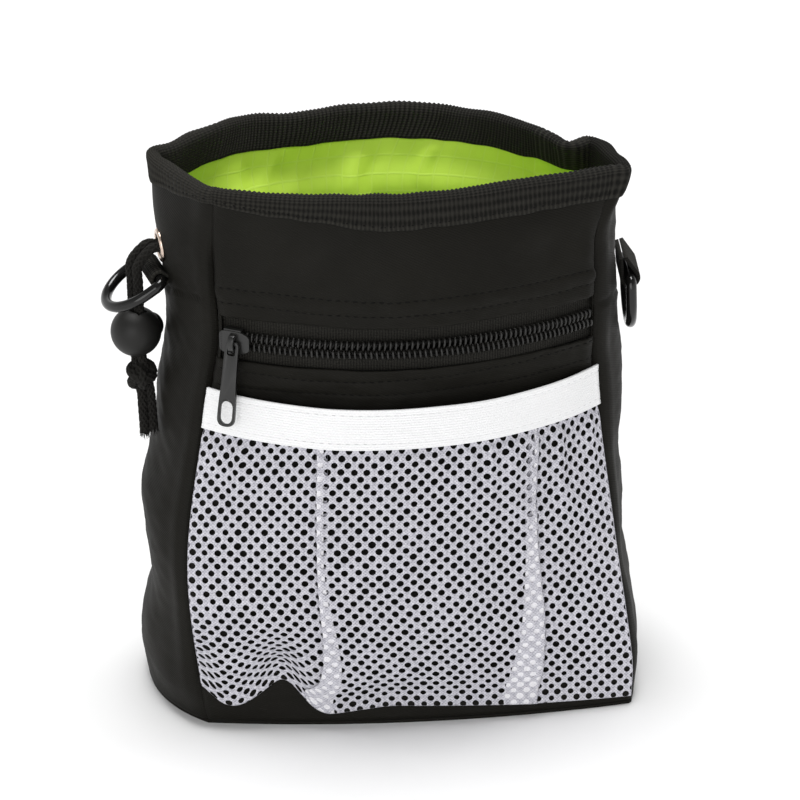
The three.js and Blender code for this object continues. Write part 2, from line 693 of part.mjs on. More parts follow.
function addRings() {
  [['left', LEFT_BAR, -1], ['right', RIGHT_BAR, 1]].forEach(([word, bar, outward]) => {
    const group = new THREE.Group();
    group.applyMatrix4(barFrame(bar, outward));
    pouch.add(group);
    add(`${word}_d_ring`, dRing(), GLOSS_BLACK, group);
    add(`${word}_ring_tab`, tab(bar, outward, TABS[word]), WEBBING);
  });
}

// ---------------------------------------------------------------- belt clip on the back
const CLIP_BASE_Y = 48;
const CLIP_Z = [90, 142];
const CLIP_LEG_Y = 55.4;
const CLIP_STEEL = 1;

function addBeltClip() {
  const patch = cloth(wall(1.5, GAP, CLIP_Z[0] - 6, CLIP_Z[1] + 8), BACK + 0.36, BACK + 0.64, 6);
  add('back_patch', patch, WEBBING);
  const y0 = CLIP_BASE_Y;
  const y1 = y0 + CLIP_STEEL;
  const mid = (y0 + CLIP_LEG_Y + CLIP_STEEL) / 2;
  const bendZ = CLIP_Z[1];
  const radius = mid - y0;
  const bend = (r, from, to, steps) => Array.from({ length: steps + 1 }, (_, i) => {
    const angle = THREE.MathUtils.degToRad(from + (to - from) * (i / steps));
    return [mid + r * Math.cos(angle), bendZ + r * Math.sin(angle)];
  });
  const base = strip([
    [y0, CLIP_Z[0]], ...bend(radius, 180, 94, 5), ...bend(radius - CLIP_STEEL, 94, 180, 5), [y1, CLIP_Z[0]],
  ], CLIP_WIDTH);
  const leg = strip([
    ...bend(radius, 88, 0, 5), [CLIP_LEG_Y + CLIP_STEEL - 0.8, CLIP_Z[0] + 8],
    [CLIP_LEG_Y + CLIP_STEEL + 1, CLIP_Z[0] - 2], [CLIP_LEG_Y + 1, CLIP_Z[0] - 2.2],
    [CLIP_LEG_Y - 0.8, CLIP_Z[0] + 8], ...bend(radius - CLIP_STEEL, 0, 88, 5),
  ], CLIP_WIDTH);
  add('belt_clip_base', orient(base), STEEL);
  add('belt_clip_leg', orient(leg), STEEL);
  [['upper', 128], ['lower', 104]].forEach(([word, z]) => {
    const rivet = lathe([[0, 0.25], [3, 0.25], [2.8, 0.7], [1.6, 1.15], [0, 1.25]], 16);
    add(`clip_rivet_${word}`, orient(bare(rivet, shift(0, y1, z))), STEEL);
  });
}

addPanels();
addLining();
addBinding();
addMeshPocket();
addZipPocketBacking();
addZip();
addSlider();
addPull();
addEyelet();
addDrawstring();
addFreeCord();
addBallStop();
addRings();
addBeltClip();

export default pouch;
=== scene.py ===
# Looks for the treat pouch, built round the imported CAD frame. The helpers work in millimetres, and
# make() writes every mesh in metres. s is 0 to 4 round the bag, a whole number at each corner; u is
# the same in mm of cloth. Both start at the front's left edge.
import math
import random

import bmesh
import bpy
import numpy as np
from mathutils import Matrix, Vector


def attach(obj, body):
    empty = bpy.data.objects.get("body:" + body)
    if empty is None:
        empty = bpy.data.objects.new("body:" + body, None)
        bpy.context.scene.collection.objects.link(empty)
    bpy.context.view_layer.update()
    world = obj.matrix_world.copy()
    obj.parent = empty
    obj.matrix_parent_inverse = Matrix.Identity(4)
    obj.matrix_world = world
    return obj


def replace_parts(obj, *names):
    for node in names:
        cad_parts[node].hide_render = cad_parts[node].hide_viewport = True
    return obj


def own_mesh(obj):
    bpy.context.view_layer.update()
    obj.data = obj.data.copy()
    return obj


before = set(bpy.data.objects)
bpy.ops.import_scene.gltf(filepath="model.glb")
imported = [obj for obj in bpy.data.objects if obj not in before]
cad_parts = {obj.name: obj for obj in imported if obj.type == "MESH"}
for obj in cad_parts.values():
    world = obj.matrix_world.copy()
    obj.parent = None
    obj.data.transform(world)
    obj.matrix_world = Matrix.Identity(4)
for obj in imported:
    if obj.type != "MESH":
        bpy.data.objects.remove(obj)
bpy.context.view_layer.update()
MM = 0.001

# ---------------------------------------------------------------- the bag's outline (as the CAD's)
LEVEL_Z = np.array([0, 15, 56, 105, 129, 147, 176.0])
FL = np.array([[-64.5, -38], [-67, -40], [-69, -31], [-61, -23], [-57.5, -24], [-58, -22.5],
               [-58, -21]])
FR = np.array([[72.8, -45], [73, -43], [68, -32], [62, -23], [61.5, -24], [61, -24.5], [61, -20]])
BR = np.array([[62, 34], [65, 37], [62, 35], [58, 30], [56, 27.5], [55, 25.5], [52, 22]])
BL = np.array([[-62, 35], [-65, 37], [-63, 35], [-59, 31], [-57, 30], [-57, 30.5], [-56, 34]])
BOWS = np.array([
    [5.5, 8, 6, 18], [3, 10, 8.5, 17], [11, 11, 11, 13], [19, 13, 15.5, 14],
    [18.5, 13, 17.3, 13], [17.5, 13, 18, 14], [14, 13, 23, 18.0],
])
SLACK = np.array([1.5, 3.5, 5.6, 4.6, 4.5, 4.2, 4.2])
HEIGHT = 176.0
SIDE_LENGTHS = (125.0, 56.0, 120.0, 62.0)


def hermite(z, values):
    """A smooth value at height z through the values given at the levels."""
    z = np.clip(z, LEVEL_Z[0], LEVEL_Z[-1])
    last = len(LEVEL_Z) - 1
    i = np.clip(np.searchsorted(LEVEL_Z, z, side="right") - 1, 0, last - 1)
    lo, hi = np.maximum(np.arange(last + 1) - 1, 0), np.minimum(np.arange(last + 1) + 1, last)
    slope = (values[hi] - values[lo]) / (LEVEL_Z[hi] - LEVEL_Z[lo])
    h = LEVEL_Z[i + 1] - LEVEL_Z[i]
    t = (z - LEVEL_Z[i]) / h
    return ((2 * t**3 - 3 * t**2 + 1) * values[i] + (t**3 - 2 * t**2 + t) * h * slope[i]
            + (3 * t**2 - 2 * t**3) * values[i + 1] + (t**3 - t**2) * h * slope[i + 1])


def plain_xy(s, z, slack=0.0):
    """The outline's point at s (0 to 4, a whole number at each corner) and height z."""
    s = np.mod(s, 4.0)
    side = np.minimum(s.astype(int), 3)
    t = s - side
    corners = [FL, FR, BR, BL, FL]
    x = np.zeros_like(s)
    y = np.zeros_like(s)
    for k in range(4):
        m = side == k
        if not m.any():
            continue
        zk, tk = z[m], t[m]
        ax, ay = hermite(zk, corners[k][:, 0]), hermite(zk, corners[k][:, 1])
        bx, by = hermite(zk, corners[k + 1][:, 0]), hermite(zk, corners[k + 1][:, 1])
        bow = hermite(zk, BOWS[:, k])
        if k == 0:
            bow = bow + np.broadcast_to(slack, s.shape)[m] * hermite(zk, SLACK)
        half = np.hypot(bx - ax, by - ay) / 2
        ux, uy = (bx - ax) / (2 * half), (by - ay) / (2 * half)
        r = (half**2 + bow**2) / (2 * bow)
        angle = (2 * tk - 1) * np.arcsin(np.minimum(1, half / r))
        along = r * np.sin(angle)
        out = bow - r * (1 - np.cos(angle))
        x[m] = (ax + bx) / 2 + ux * along + uy * out
        y[m] = (ay + by) / 2 + uy * along - ux * out
    return x, y


# The rim's real line at the top, as (s, x, y): pinched at the left tip, folded at the right corner.
RIM = np.array([
    [0.00, -57, -22], [0.12, -43, -28], [0.30, -21, -33], [0.45, -5, -35], [0.60, 13, -33.5],
    [0.74, 30, -30], [0.86, 46, -25], [0.95, 59, -21.5], [1.00, 66, -19.5], [1.05, 70.5, -19],
    [1.12, 71.3, -15], [1.30, 70, -6], [1.55, 68, 6], [1.68, 64, 10], [1.80, 57.5, 6],
    [1.92, 54.5, 12], [2.00, 51, 19], [2.15, 42, 32], [2.28, 32, 41.5], [2.38, 23, 47],
    [2.50, 7, 51], [2.62, -10, 49.5], [2.75, -25, 45.5], [2.88, -40, 45], [3.00, -50, 40],
    [3.12, -58, 32], [3.30, -67, 22], [3.45, -73.5, 16.5], [3.55, -73, 10], [3.70, -69.5, 1],
    [3.85, -63.5, -12],
])
WARP_START = 152.0


def periodic(s, table, column):
    """Catmull-Rom through the table's rows round the rim."""
    n = len(table)
    knots = np.concatenate([table[-2:, 0] - 4, table[:, 0], table[:2, 0] + 4])
    vals = np.concatenate([table[-2:, column], table[:, column], table[:2, column]])
    i = np.clip(np.searchsorted(knots, s, side="right") - 1, 1, n + 1)
    h = knots[i + 1] - knots[i]
    t = (s - knots[i]) / h
    m0 = (vals[i + 1] - vals[i - 1]) / (knots[i + 1] - knots[i - 1]) * h
    m1 = (vals[np.minimum(i + 2, n + 3)] - vals[i]) / (knots[np.minimum(i + 2, n + 3)] - knots[i]) * h
    return ((2 * t**3 - 3 * t**2 + 1) * vals[i] + (t**3 - 2 * t**2 + t) * m0
            + (3 * t**2 - 2 * t**3) * vals[i + 1] + (t**3 - t**2) * m1)


def smoothstep(x, a, b):
    t = np.clip((x - a) / (b - a), 0, 1)
    return t * t * (3 - 2 * t)


RIM_S = np.linspace(0, 4, 801)
_top = plain_xy(RIM_S, np.full_like(RIM_S, HEIGHT))
_dx = periodic(RIM_S, RIM, 1) - _top[0]
_dy = periodic(RIM_S, RIM, 2) - _top[1]


def base_xy(s, z, slack=0.0):
    """The outline with the rim's own line worked in above WARP_START."""
    x, y = plain_xy(s, z, slack)
    w = smoothstep(z, WARP_START, HEIGHT)
    sm = np.mod(s, 4.0)
    return x + w * np.interp(sm, RIM_S, _dx), y + w * np.interp(sm, RIM_S, _dy)


def surface(s, z, offset=0.0, slack=0.0):
    """Points on the bag, offset outwards, as an array of x, y, z."""
    s, z, offset, slack = np.broadcast_arrays(
        np.asarray(s, float), np.asarray(z, float), np.asarray(offset, float), np.asarray(slack, float))
    ds = 0.012
    x, y = base_xy(s, z, slack)
    x1, y1 = base_xy(s + ds, z, slack)
    x0, y0 = base_xy(s - ds, z, slack)
    tx, ty = x1 - x0, y1 - y0
    length = np.maximum(np.hypot(tx, ty), 1e-6)
    return np.stack([x + offset * ty / length, y - offset * tx / length, z], -1)


# ---------------------------------------------------------------- camera, light and floor
PHOTO_VIEW = (-8.0, 25.0)
CAMERA_DISTANCE = 0.900
TARGET = Vector((0.003, 0.0, 0.0925))


def add_camera():
    az, el = (math.radians(v) for v in PHOTO_VIEW)
    back = Vector((math.sin(az) * math.cos(el), -math.cos(az) * math.cos(el), math.sin(el)))
    data = bpy.data.cameras.new("camera")
    data.lens, data.sensor_width = 125.6, 36.0
    data.clip_start, data.clip_end = 0.01, 20
    camera = bpy.data.objects.new("camera", data)
    camera.location = TARGET + back * CAMERA_DISTANCE
    camera.rotation_euler = (-back).to_track_quat("-Z", "Y").to_euler()
    bpy.context.scene.collection.objects.link(camera)
    bpy.context.scene.camera = camera


def add_sun(name, azimuth, elevation, power, spread):
    """A soft distant light; power 1 lights a white sheet that faces it to full white."""
    a, e = math.radians(azimuth), math.radians(elevation)
    data = bpy.data.lights.new(name, "SUN")
    data.energy, data.angle = power * math.pi, math.radians(spread)
    light = bpy.data.objects.new(name, data)
    towards = Vector((math.sin(a) * math.cos(e), -math.cos(a) * math.cos(e), math.sin(e)))
    light.rotation_euler = towards.to_track_quat("Z", "Y").to_euler()
    bpy.context.scene.collection.objects.link(light)


def add_world():
    """White round the horizon, like a studio's walls, and dimmer above."""
    world = bpy.data.worlds.new("studio")
    world.use_nodes = True
    tree = world.node_tree
    place = tree.nodes.new("ShaderNodeTexCoord")
    split = tree.nodes.new("ShaderNodeSeparateXYZ")
    ramp = tree.nodes.new("ShaderNodeMapRange")
    tree.links.new(place.outputs["Generated"], split.inputs[0])
    tree.links.new(split.outputs["Z"], ramp.inputs["Value"])
    for key, value in (("From Min", 0.15), ("From Max", 0.6), ("To Min", 1.0), ("To Max", 0.22)):
        ramp.inputs[key].default_value = value
    ground = tree.nodes["Background"]
    tree.links.new(ramp.outputs[0], ground.inputs["Strength"])
    ground.inputs["Color"].default_value = (1, 1, 1, 1)
    bpy.context.scene.world = world
    bpy.context.scene.view_settings.view_transform = "Standard"


add_camera()
add_world()
add_sun("overhead", 185, 80, 0.96, 30)
add_sun("front", -22, 22, 0.30, 40)
add_sun("left", -80, 40, 0.02, 35)


# ---------------------------------------------------------------- mesh helpers
def grid_faces(nu, nv, wrap=False):
    i = np.arange(nu if wrap else nu - 1)
    j = np.arange(nv - 1)
    a = (i[:, None] * nv + j[None, :]).ravel()
    b = (((i + 1) % nu)[:, None] * nv + j[None, :]).ravel()
    return np.stack([a, b, b + 1, a + 1], 1)


def strip_faces(first, second):
    return np.stack([first[:-1], second[:-1], second[1:], first[1:]], 1)


def make(name, points, faces, material, slot=None, body="bag", coords=None, weld=False):
    """An object from points in mm, riding on a body. coords are flat cloth coordinates in mm."""
    mesh = bpy.data.meshes.new(name)
    mesh.from_pydata((np.asarray(points, float).reshape(-1, 3) * MM).tolist(), [],
                     faces.tolist() if hasattr(faces, "tolist") else faces)
    if coords is not None:
        flat = np.zeros((len(mesh.vertices), 3), np.float32)
        flat[:, :2] = np.asarray(coords, float).reshape(-1, 2)
        mesh.attributes.new("flat_mm", "FLOAT_VECTOR", "POINT").data.foreach_set("vector", flat.ravel())
    mesh.validate()
    tidy_mesh(mesh, weld)
    mesh.polygons.foreach_set("use_smooth", [True] * len(mesh.polygons))
    mesh.materials.append(material)
    obj = bpy.data.objects.new(name, mesh)
    bpy.context.scene.collection.objects.link(obj)
    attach(obj, body)
    return obj


def tidy_mesh(mesh, weld):
    """Turns the faces outwards. weld joins points that meet and drops faces left with no area."""
    bm = bmesh.new()
    bm.from_mesh(mesh)
    if weld:
        bmesh.ops.remove_doubles(bm, verts=bm.verts, dist=2e-6)
        bmesh.ops.delete(bm, geom=[f for f in bm.faces if f.calc_area() < 1e-12], context="FACES")
    bmesh.ops.recalc_face_normals(bm, faces=bm.faces)
    bm.to_mesh(mesh)
    bm.free()


def shell(name, outer, inner, material, coords=None, wrap=False, **keys):
    """A closed body between an outer and an inner grid of points."""
    nu, nv = outer.shape[:2]
    n = nu * nv
    index = np.arange(n).reshape(nu, nv)
    faces = [grid_faces(nu, nv, wrap), grid_faces(nu, nv, wrap)[:, ::-1] + n]
    ring = np.append(np.arange(nu), 0) if wrap else np.arange(nu)
    edges = [index[ring, 0], index[ring, nv - 1]]
    if not wrap:
        edges += [index[0, :], index[nu - 1, :]]
    for e in edges:
        faces.append(strip_faces(e, e + n))
    both = None if coords is None else np.concatenate([coords.reshape(-1, 2)] * 2)
    points = np.concatenate([outer.reshape(-1, 3), inner.reshape(-1, 3)])
    return make(name, points, np.concatenate(faces), material, coords=both, **keys)


def frames_along(path, closed=False):
    """Tangents and two side vectors that turn as little as possible along a path."""
    path = np.asarray(path, float)
    if closed:
        tangent = np.roll(path, -1, 0) - np.roll(path, 1, 0)
    else:
        tangent = np.gradient(path, axis=0)
    tangent /= np.linalg.norm(tangent, axis=1, keepdims=True)
    side = np.cross(tangent[0], [0, 0, 1.0])
    if np.linalg.norm(side) < 0.2:
        side = np.cross(tangent[0], [0, 1.0, 0])
    sides = []
    for t in tangent:
        side = side - t * np.dot(side, t)
        side /= np.linalg.norm(side)
        sides.append(side.copy())
    sides = np.array(sides)
    if closed:
        last = sides[-1] - tangent[0] * np.dot(sides[-1], tangent[0])
        last /= np.linalg.norm(last)
        twist = math.atan2(np.dot(np.cross(last, sides[0]), tangent[0]), np.dot(last, sides[0]))
        turn = np.linspace(0, twist, len(path))
        up = np.cross(tangent, sides)
        sides = sides * np.cos(turn)[:, None] + up * np.sin(turn)[:, None]
    return tangent, sides, np.cross(tangent, sides)


PARTS = 24       # short lines in each stretch of a smooth path


def resample(points, step, closed=False):
    """A smooth path through points with a point every step millimetres, and its length."""
    p = np.asarray(points, float)
    if closed:
        p = np.concatenate([p[-2:], p, p[:3]])
    else:
        p = np.concatenate([2 * p[:1] - p[1:2], p, 2 * p[-1:] - p[-2:-1]])
    fine = []
    for i in range(1, len(p) - 2):
        t = np.linspace(0, 1, PARTS, endpoint=False)[:, None]
        a, b, c, d = p[i - 1], p[i], p[i + 1], p[i + 2]
        fine.append(0.5 * (2 * b + (c - a) * t + (2 * a - 5 * b + 4 * c - d) * t**2
                           + (3 * b - a - 3 * c + d) * t**3))
    fine = np.concatenate(fine + [p[-2:-1]])
    if closed:
        fine = fine[PARTS:-PARTS]
    length = np.concatenate([[0], np.cumsum(np.linalg.norm(np.diff(fine, axis=0), axis=1))])
    count = max(4, int(round(length[-1] / step)) + 1)
    at = np.linspace(0, length[-1], count)
    return np.stack([np.interp(at, length, fine[:, k]) for k in range(3)], 1), length[-1]


def tube_points(path, radius, sides, closed=False, relief=None):
    """Rings round a path. relief(angle, distance) adds to the radius."""
    path = np.asarray(path, float)
    _, side, up = frames_along(path, closed)
    angle = np.linspace(0, 2 * np.pi, sides, endpoint=False)
    step = np.concatenate([[0], np.cumsum(np.linalg.norm(np.diff(path, axis=0), axis=1))])
    r = np.broadcast_to(np.asarray(radius, float).reshape(-1, 1), (len(path), sides)).copy()
    if relief is not None:
        r += relief(angle[None, :], step[:, None])
    return (path[:, None, :] + r[..., None] * (np.cos(angle)[None, :, None] * side[:, None, :]
            + np.sin(angle)[None, :, None] * up[:, None, :]))


def tube_faces(rings, sides, closed=False):
    grid = np.arange(rings * sides).reshape(rings, sides)
    ring = np.append(np.arange(rings), 0) if closed else np.arange(rings)
    faces = []
    for k in range(sides):
        a, b = grid[ring, k], grid[ring, (k + 1) % sides]
        faces.append(strip_faces(a, b))
    faces = np.concatenate(faces).tolist()
    if not closed:
        faces += [grid[0].tolist()[::-1], grid[-1].tolist()]
    return faces


def tube(name, path, radius, sides, material, closed=False, relief=None, **keys):
    points = tube_points(path, radius, sides, closed, relief)
    return make(name, points, tube_faces(len(points), sides, closed), material, **keys)


def several(parts):
    """Joins (points, faces) pairs into one pair."""
    points, faces, start = [], [], 0
    for p, f in parts:
        points.append(p.reshape(-1, 3))
        faces += [[v + start for v in face] for face in f]
        start += len(points[-1])
    return np.concatenate(points), faces


def many_tubes(name, paths, radius, sides, material, taper, **keys):
    """Several short tubes as one piece. taper gives the radius along a tube, as shares."""
    parts = []
    for path in paths:
        share = np.interp(np.linspace(0, 1, len(path)), np.linspace(0, 1, len(taper)), taper)
        parts.append((tube_points(path, radius * share, sides), tube_faces(len(path), sides)))
    return make(name, *several(parts), material, **keys)


WAVES = {}


def ripple(u, v, size, seed):
    """Smooth noise between about -1 and 1 whose lumps are size mm across."""
    if seed not in WAVES:
        rng = np.random.default_rng(seed)
        WAVES[seed] = (rng.uniform(0, 2 * np.pi, 14), rng.uniform(0.6, 1.5, 14),
                       rng.uniform(0, 2 * np.pi, 14))
    angle, rate, phase = WAVES[seed]
    total = 0
    for a, k, p in zip(angle, rate, phase):
        total = total + np.sin(2 * np.pi * k / size * (u * math.cos(a) + v * math.sin(a)) + p)
    return total / 5.0


def stitches(name, line, pitch, length, material, radius, lift, **keys):
    """Threads along a line of surface points with outward normals: (points, normals)."""
    points, normals = line
    run = np.concatenate([[0], np.cumsum(np.linalg.norm(np.diff(points, axis=0), axis=1))])
    paths = []
    for start in np.arange(pitch * 0.4, run[-1] - length, pitch):
        at = start + np.linspace(0, length, 7)
        p = np.stack([np.interp(at, run, points[:, k]) for k in range(3)], 1)
        n = np.stack([np.interp(at, run, normals[:, k]) for k in range(3)], 1)
        arch = np.sin(np.linspace(0, np.pi, 7)) ** 0.5
        paths.append(p + n * (lift * arch - 0.25)[:, None])
    taper = [0.5, 0.95, 1, 1, 1, 0.95, 0.5]
    return many_tubes(name, paths, radius, 6, material, taper, **keys)


# ---------------------------------------------------------------- materials
def add_node(tree, kind, inputs=None, **settings):
    made = tree.nodes.new(kind)
    for key, value in settings.items():
        setattr(made, key, value)
    for key, value in (inputs or {}).items():
        if isinstance(value, bpy.types.NodeSocket):
            tree.links.new(value, made.inputs[key])
        else:
            made.inputs[key].default_value = value
    return made


def calc(tree, operation, a, b=0.0, c=0.0):
    inputs = {0: a, 1: b, 2: c} if operation == "MULTIPLY_ADD" else {0: a, 1: b}
    return add_node(tree, "ShaderNodeMath", inputs, operation=operation).outputs[0]


class Finish:
    """A Principled material under construction, with coordinates in millimetres."""

    def __init__(self, name, flat=True, roughness=0.7, metallic=0.0, specular=0.5, sheen=0.0):
        self.made = bpy.data.materials.new(name)
        self.made.use_nodes = True
        self.tree = self.made.node_tree
        self.shader = self.tree.nodes["Principled BSDF"]
        self.shader.inputs["Roughness"].default_value = roughness
        self.shader.inputs["Metallic"].default_value = metallic
        self.shader.inputs["Specular IOR Level"].default_value = specular
        self.shader.inputs["Sheen Weight"].default_value = sheen
        self.shader.inputs["Sheen Roughness"].default_value = 0.4
        if flat:
            place = add_node(self.tree, "ShaderNodeAttribute", attribute_name="flat_mm")
            self.mm = place.outputs["Vector"]
        else:
            place = add_node(self.tree, "ShaderNodeTexCoord").outputs["Object"]
            self.mm = add_node(self.tree, "ShaderNodeVectorMath", {0: place, 1: (1000, 1000, 1000)},
                               operation="MULTIPLY").outputs[0]
        split = add_node(self.tree, "ShaderNodeSeparateXYZ", {0: self.mm})
        self.u, self.v, self.w = split.outputs

    def noise(self, size, detail=2.0, stretch=(1, 1, 1)):
        place = add_node(self.tree, "ShaderNodeVectorMath", {0: self.mm, 1: stretch},
                         operation="MULTIPLY")
        at = place.outputs[0]
        inputs = {"Vector": at, "Scale": 1.0 / size, "Detail": detail, "Roughness": 0.55}
        return add_node(self.tree, "ShaderNodeTexNoise", inputs).outputs["Fac"]

    def wave(self, a, b, pitch):
        """A sine across the direction (a, b), from -1 to 1."""
        k = 2 * math.pi / pitch
        return calc(self.tree, "SINE", self.add(self.times(self.u, a * k), self.times(self.v, b * k)))

    def add(self, a, b):
        return calc(self.tree, "ADD", a, b)

    def times(self, a, b):
        return calc(self.tree, "MULTIPLY", a, b)

    def colour(self, low, high, share):
        ramp = add_node(self.tree, "ShaderNodeMix", {"Factor": share, "A": (*low, 1), "B": (*high, 1)},
                        data_type="RGBA")
        self.tree.links.new(ramp.outputs["Result"], self.shader.inputs["Base Color"])
        return ramp

    def bump(self, height, depth):
        """depth is how far one unit of height stands out, in mm."""
        made = add_node(self.tree, "ShaderNodeBump",
                        {"Height": height, "Distance": depth * MM, "Strength": 1.0})
        self.tree.links.new(made.outputs[0], self.shader.inputs["Normal"])

    def vary_roughness(self, low, high, share):
        span = calc(self.tree, "MULTIPLY_ADD", share, high - low, low)
        self.tree.links.new(span, self.shader.inputs["Roughness"])


BLACK_DARK, BLACK_LIGHT = (0.0045, 0.0041, 0.0029), (0.0112, 0.0103, 0.0078)


def nylon_twill():
    f = Finish("nylon_twill", roughness=0.66, specular=0.11, sheen=0.01)
    twill = f.wave(0.42, 0.91, 0.72)
    yarns = f.times(f.wave(1, 0, 0.42), 0.35)
    cloudy = f.noise(28, 3)
    weave = f.add(twill, yarns)
    share = f.add(f.times(weave, 0.14), f.times(cloudy, 0.95))
    f.colour(BLACK_DARK, BLACK_LIGHT, share)
    f.vary_roughness(0.5, 0.72, f.noise(12, 2))
    f.bump(f.add(f.times(weave, 0.5), f.times(f.noise(3.5, 2), 1.2)), 0.05)
    return f.made


def ribbed(name, pitch, fine):
    """Black woven tape with a rib every pitch mm along it and a yarn every fine mm across."""
    f = Finish(name, roughness=0.8, specular=0.15, sheen=0.02)
    ribs = f.wave(1, 0, pitch)
    beads = f.wave(0, 1, fine)
    fuzz = f.noise(0.6, 3)
    share = f.add(f.add(f.times(ribs, 0.32), f.times(beads, 0.28)), f.times(fuzz, 0.9))
    f.colour((0.004, 0.0038, 0.0030), (0.026, 0.0245, 0.0205), share)
    f.bump(f.add(f.times(ribs, 0.5), f.add(f.times(beads, 0.7), f.times(fuzz, 0.6))), 0.07)
    return f.made


def ripstop():
    f = Finish("lime_ripstop", roughness=0.5, specular=0.4, sheen=0.1)
    pitch = 5.3
    tree = f.tree

    def line(coordinate, offset):
        cell = calc(tree, "FRACT", calc(tree, "MULTIPLY_ADD", coordinate, 1 / pitch, offset))
        away = calc(tree, "ABSOLUTE", calc(tree, "SUBTRACT", cell, 0.5))
        inputs = {0: away, 1: 0.035, 2: 0.065, 3: 1.0, 4: 0.0}
        return add_node(tree, "ShaderNodeMapRange", inputs).outputs[0]

    grid = calc(tree, "MAXIMUM", line(f.u, 0.0), line(f.v, 0.3))
    weave = f.times(f.wave(1, 0, 0.38), f.wave(0, 1, 0.38))
    cloudy = f.noise(20, 2)
    base = f.colour((0.47, 0.72, 0.042), (0.66, 0.92, 0.085), cloudy)
    lit = add_node(tree, "ShaderNodeMix", {"Factor": f.times(grid, 0.26), "A": base.outputs["Result"],
                                           "B": (0.62, 0.85, 0.16, 1)}, data_type="RGBA")
    tree.links.new(lit.outputs["Result"], f.shader.inputs["Base Color"])
    f.bump(f.add(f.times(grid, 1.2), f.add(f.times(weave, 0.4), f.times(f.noise(5, 2), 2.0))), 0.06)
    return f.made


def mesh_yarn(name, low, high):
    f = Finish(name, roughness=0.75, specular=0.3, sheen=0.1)
    strands = f.noise(0.55, 3, (0.6, 1.6, 1))
    # knots lightens the ridges along the diagonals between the holes: this is painted highlight.
    knots = f.times(f.wave(1 / HOLE_X, 1 / HOLE_Y, 1.0), f.wave(1 / HOLE_X, -1 / HOLE_Y, 1.0))
    knit = calc(f.tree, "MAXIMUM", f.wave(0.75, 0.66, 0.72), f.wave(0.75, -0.66, 0.72))
    # The strand noise and knit lines are the yarn's own texture, but the dark end of the colour is painted
    # shade between the strands.
    share = f.add(f.times(strands, 1.3), f.add(f.times(knots, 0.16), f.add(f.times(knit, 0.2), -0.35)))
    f.colour(low, high, share)
    f.bump(f.add(f.times(strands, 1.5), f.times(knit, 0.6)), 0.1)
    return f.made


def elastic():
    f = Finish("white_elastic", roughness=0.8, specular=0.25, sheen=0.08)
    lines = f.wave(0, 1, 0.85)
    dots = f.times(f.wave(1, 0, 0.9), f.wave(0, 1, 1.7))
    share = f.add(f.times(lines, 0.12), f.add(f.times(dots, 0.12), 0.75))
    f.colour((0.76, 0.76, 0.77), (0.93, 0.93, 0.935), share)
    f.bump(f.add(lines, f.add(f.times(dots, 0.5), f.noise(0.6, 2))), 0.05)
    return f.made


def solid(name, colour, roughness, size, depth, metallic=0.0, specular=0.5, lighter=1.35):
    """One colour, worn lighter in patches, with a fine grain size mm across."""
    f = Finish(name, flat=False, roughness=roughness, metallic=metallic, specular=specular)
    fine = f.noise(size, 3)
    worn = f.noise(size * 12, 2)
    f.colour(colour, tuple(min(1.0, c * lighter) for c in colour), worn)
    f.vary_roughness(roughness * 0.85, min(1.0, roughness * 1.15), worn)
    f.bump(fine, depth)
    return f.made


def braid():
    f = Finish("braided_cord", flat=False, roughness=0.75, specular=0.15, sheen=0.03)
    fuzz = f.noise(0.45, 3)
    f.colour((0.003, 0.003, 0.0025), (0.022, 0.0205, 0.018), fuzz)
    f.bump(fuzz, 0.16)
    return f.made


HOLE_X, HOLE_Y = 3.72, 4.5       # pitch of the net's holes, in flat cloth mm
GROSGRAIN_RIB, WEBBING_RIB, TAPE_RIB = 1.42, 1.25, 0.9
NYLON = nylon_twill()
GROSGRAIN = ribbed("grosgrain", GROSGRAIN_RIB, 0.8)
WEBBING = ribbed("webbing", WEBBING_RIB, 0.7)
TAPE = ribbed("zip_tape", TAPE_RIB, 0.5)
LIME = ripstop()
# The darker first colour of each mesh yarn is painted shade between the strands.
YARN = mesh_yarn("mesh_yarn", (0.34, 0.335, 0.39), (0.86, 0.85, 0.90))
LAYERED = mesh_yarn("mesh_layers", (0.80, 0.79, 0.83), (0.98, 0.97, 0.99))
WHITE = elastic()
BRAID = braid()
THREAD = solid("black_thread", (0.0035, 0.0033, 0.003), 0.8, 0.2, 0.02, specular=0.12)
WHITE_THREAD = solid("white_thread", (0.55, 0.55, 0.56), 0.8, 0.2, 0.02, lighter=1.3)
COIL = solid("zip_coil", (0.009, 0.0085, 0.0075), 0.33, 0.3, 0.006, specular=0.4, lighter=1.6)
ENAMEL = solid("slider_enamel", (0.0085, 0.0085, 0.008), 0.3, 0.25, 0.004, specular=0.55, lighter=1.4)
NICKEL = solid("warm_nickel", (0.62, 0.50, 0.42), 0.26, 0.5, 0.004, metallic=1.0, lighter=1.15)
MOULDED = solid("moulded_black", (0.0085, 0.0082, 0.0075), 0.5, 0.35, 0.008, specular=0.28, lighter=1.5)
GLOSS = solid("gloss_black", (0.004, 0.004, 0.0038), 0.14, 0.8, 0.003, specular=0.42, lighter=1.5)
CLIP_PAINT = solid("powder_coat", (0.014, 0.014, 0.014), 0.45, 0.4, 0.012, metallic=0.3)
RIVET = solid("rivet_steel", (0.42, 0.42, 0.43), 0.35, 0.4, 0.004, metallic=1.0)
SPRING = solid("spring_wire", (0.45, 0.45, 0.46), 0.3, 0.2, 0.002, metallic=1.0)


# ---------------------------------------------------------------- cords: they come first
STOP_TURN = math.radians(-50)
CORD_R = 1.45
EYELET_Z, EYELET_Y = 150.5, 0.0
KNOT_AT = np.array([-79.6, -2.5, 107.8])
KNOT_R, KNOT_CORD_R, KNOT_SIDES = 5.1, 1.72, 32


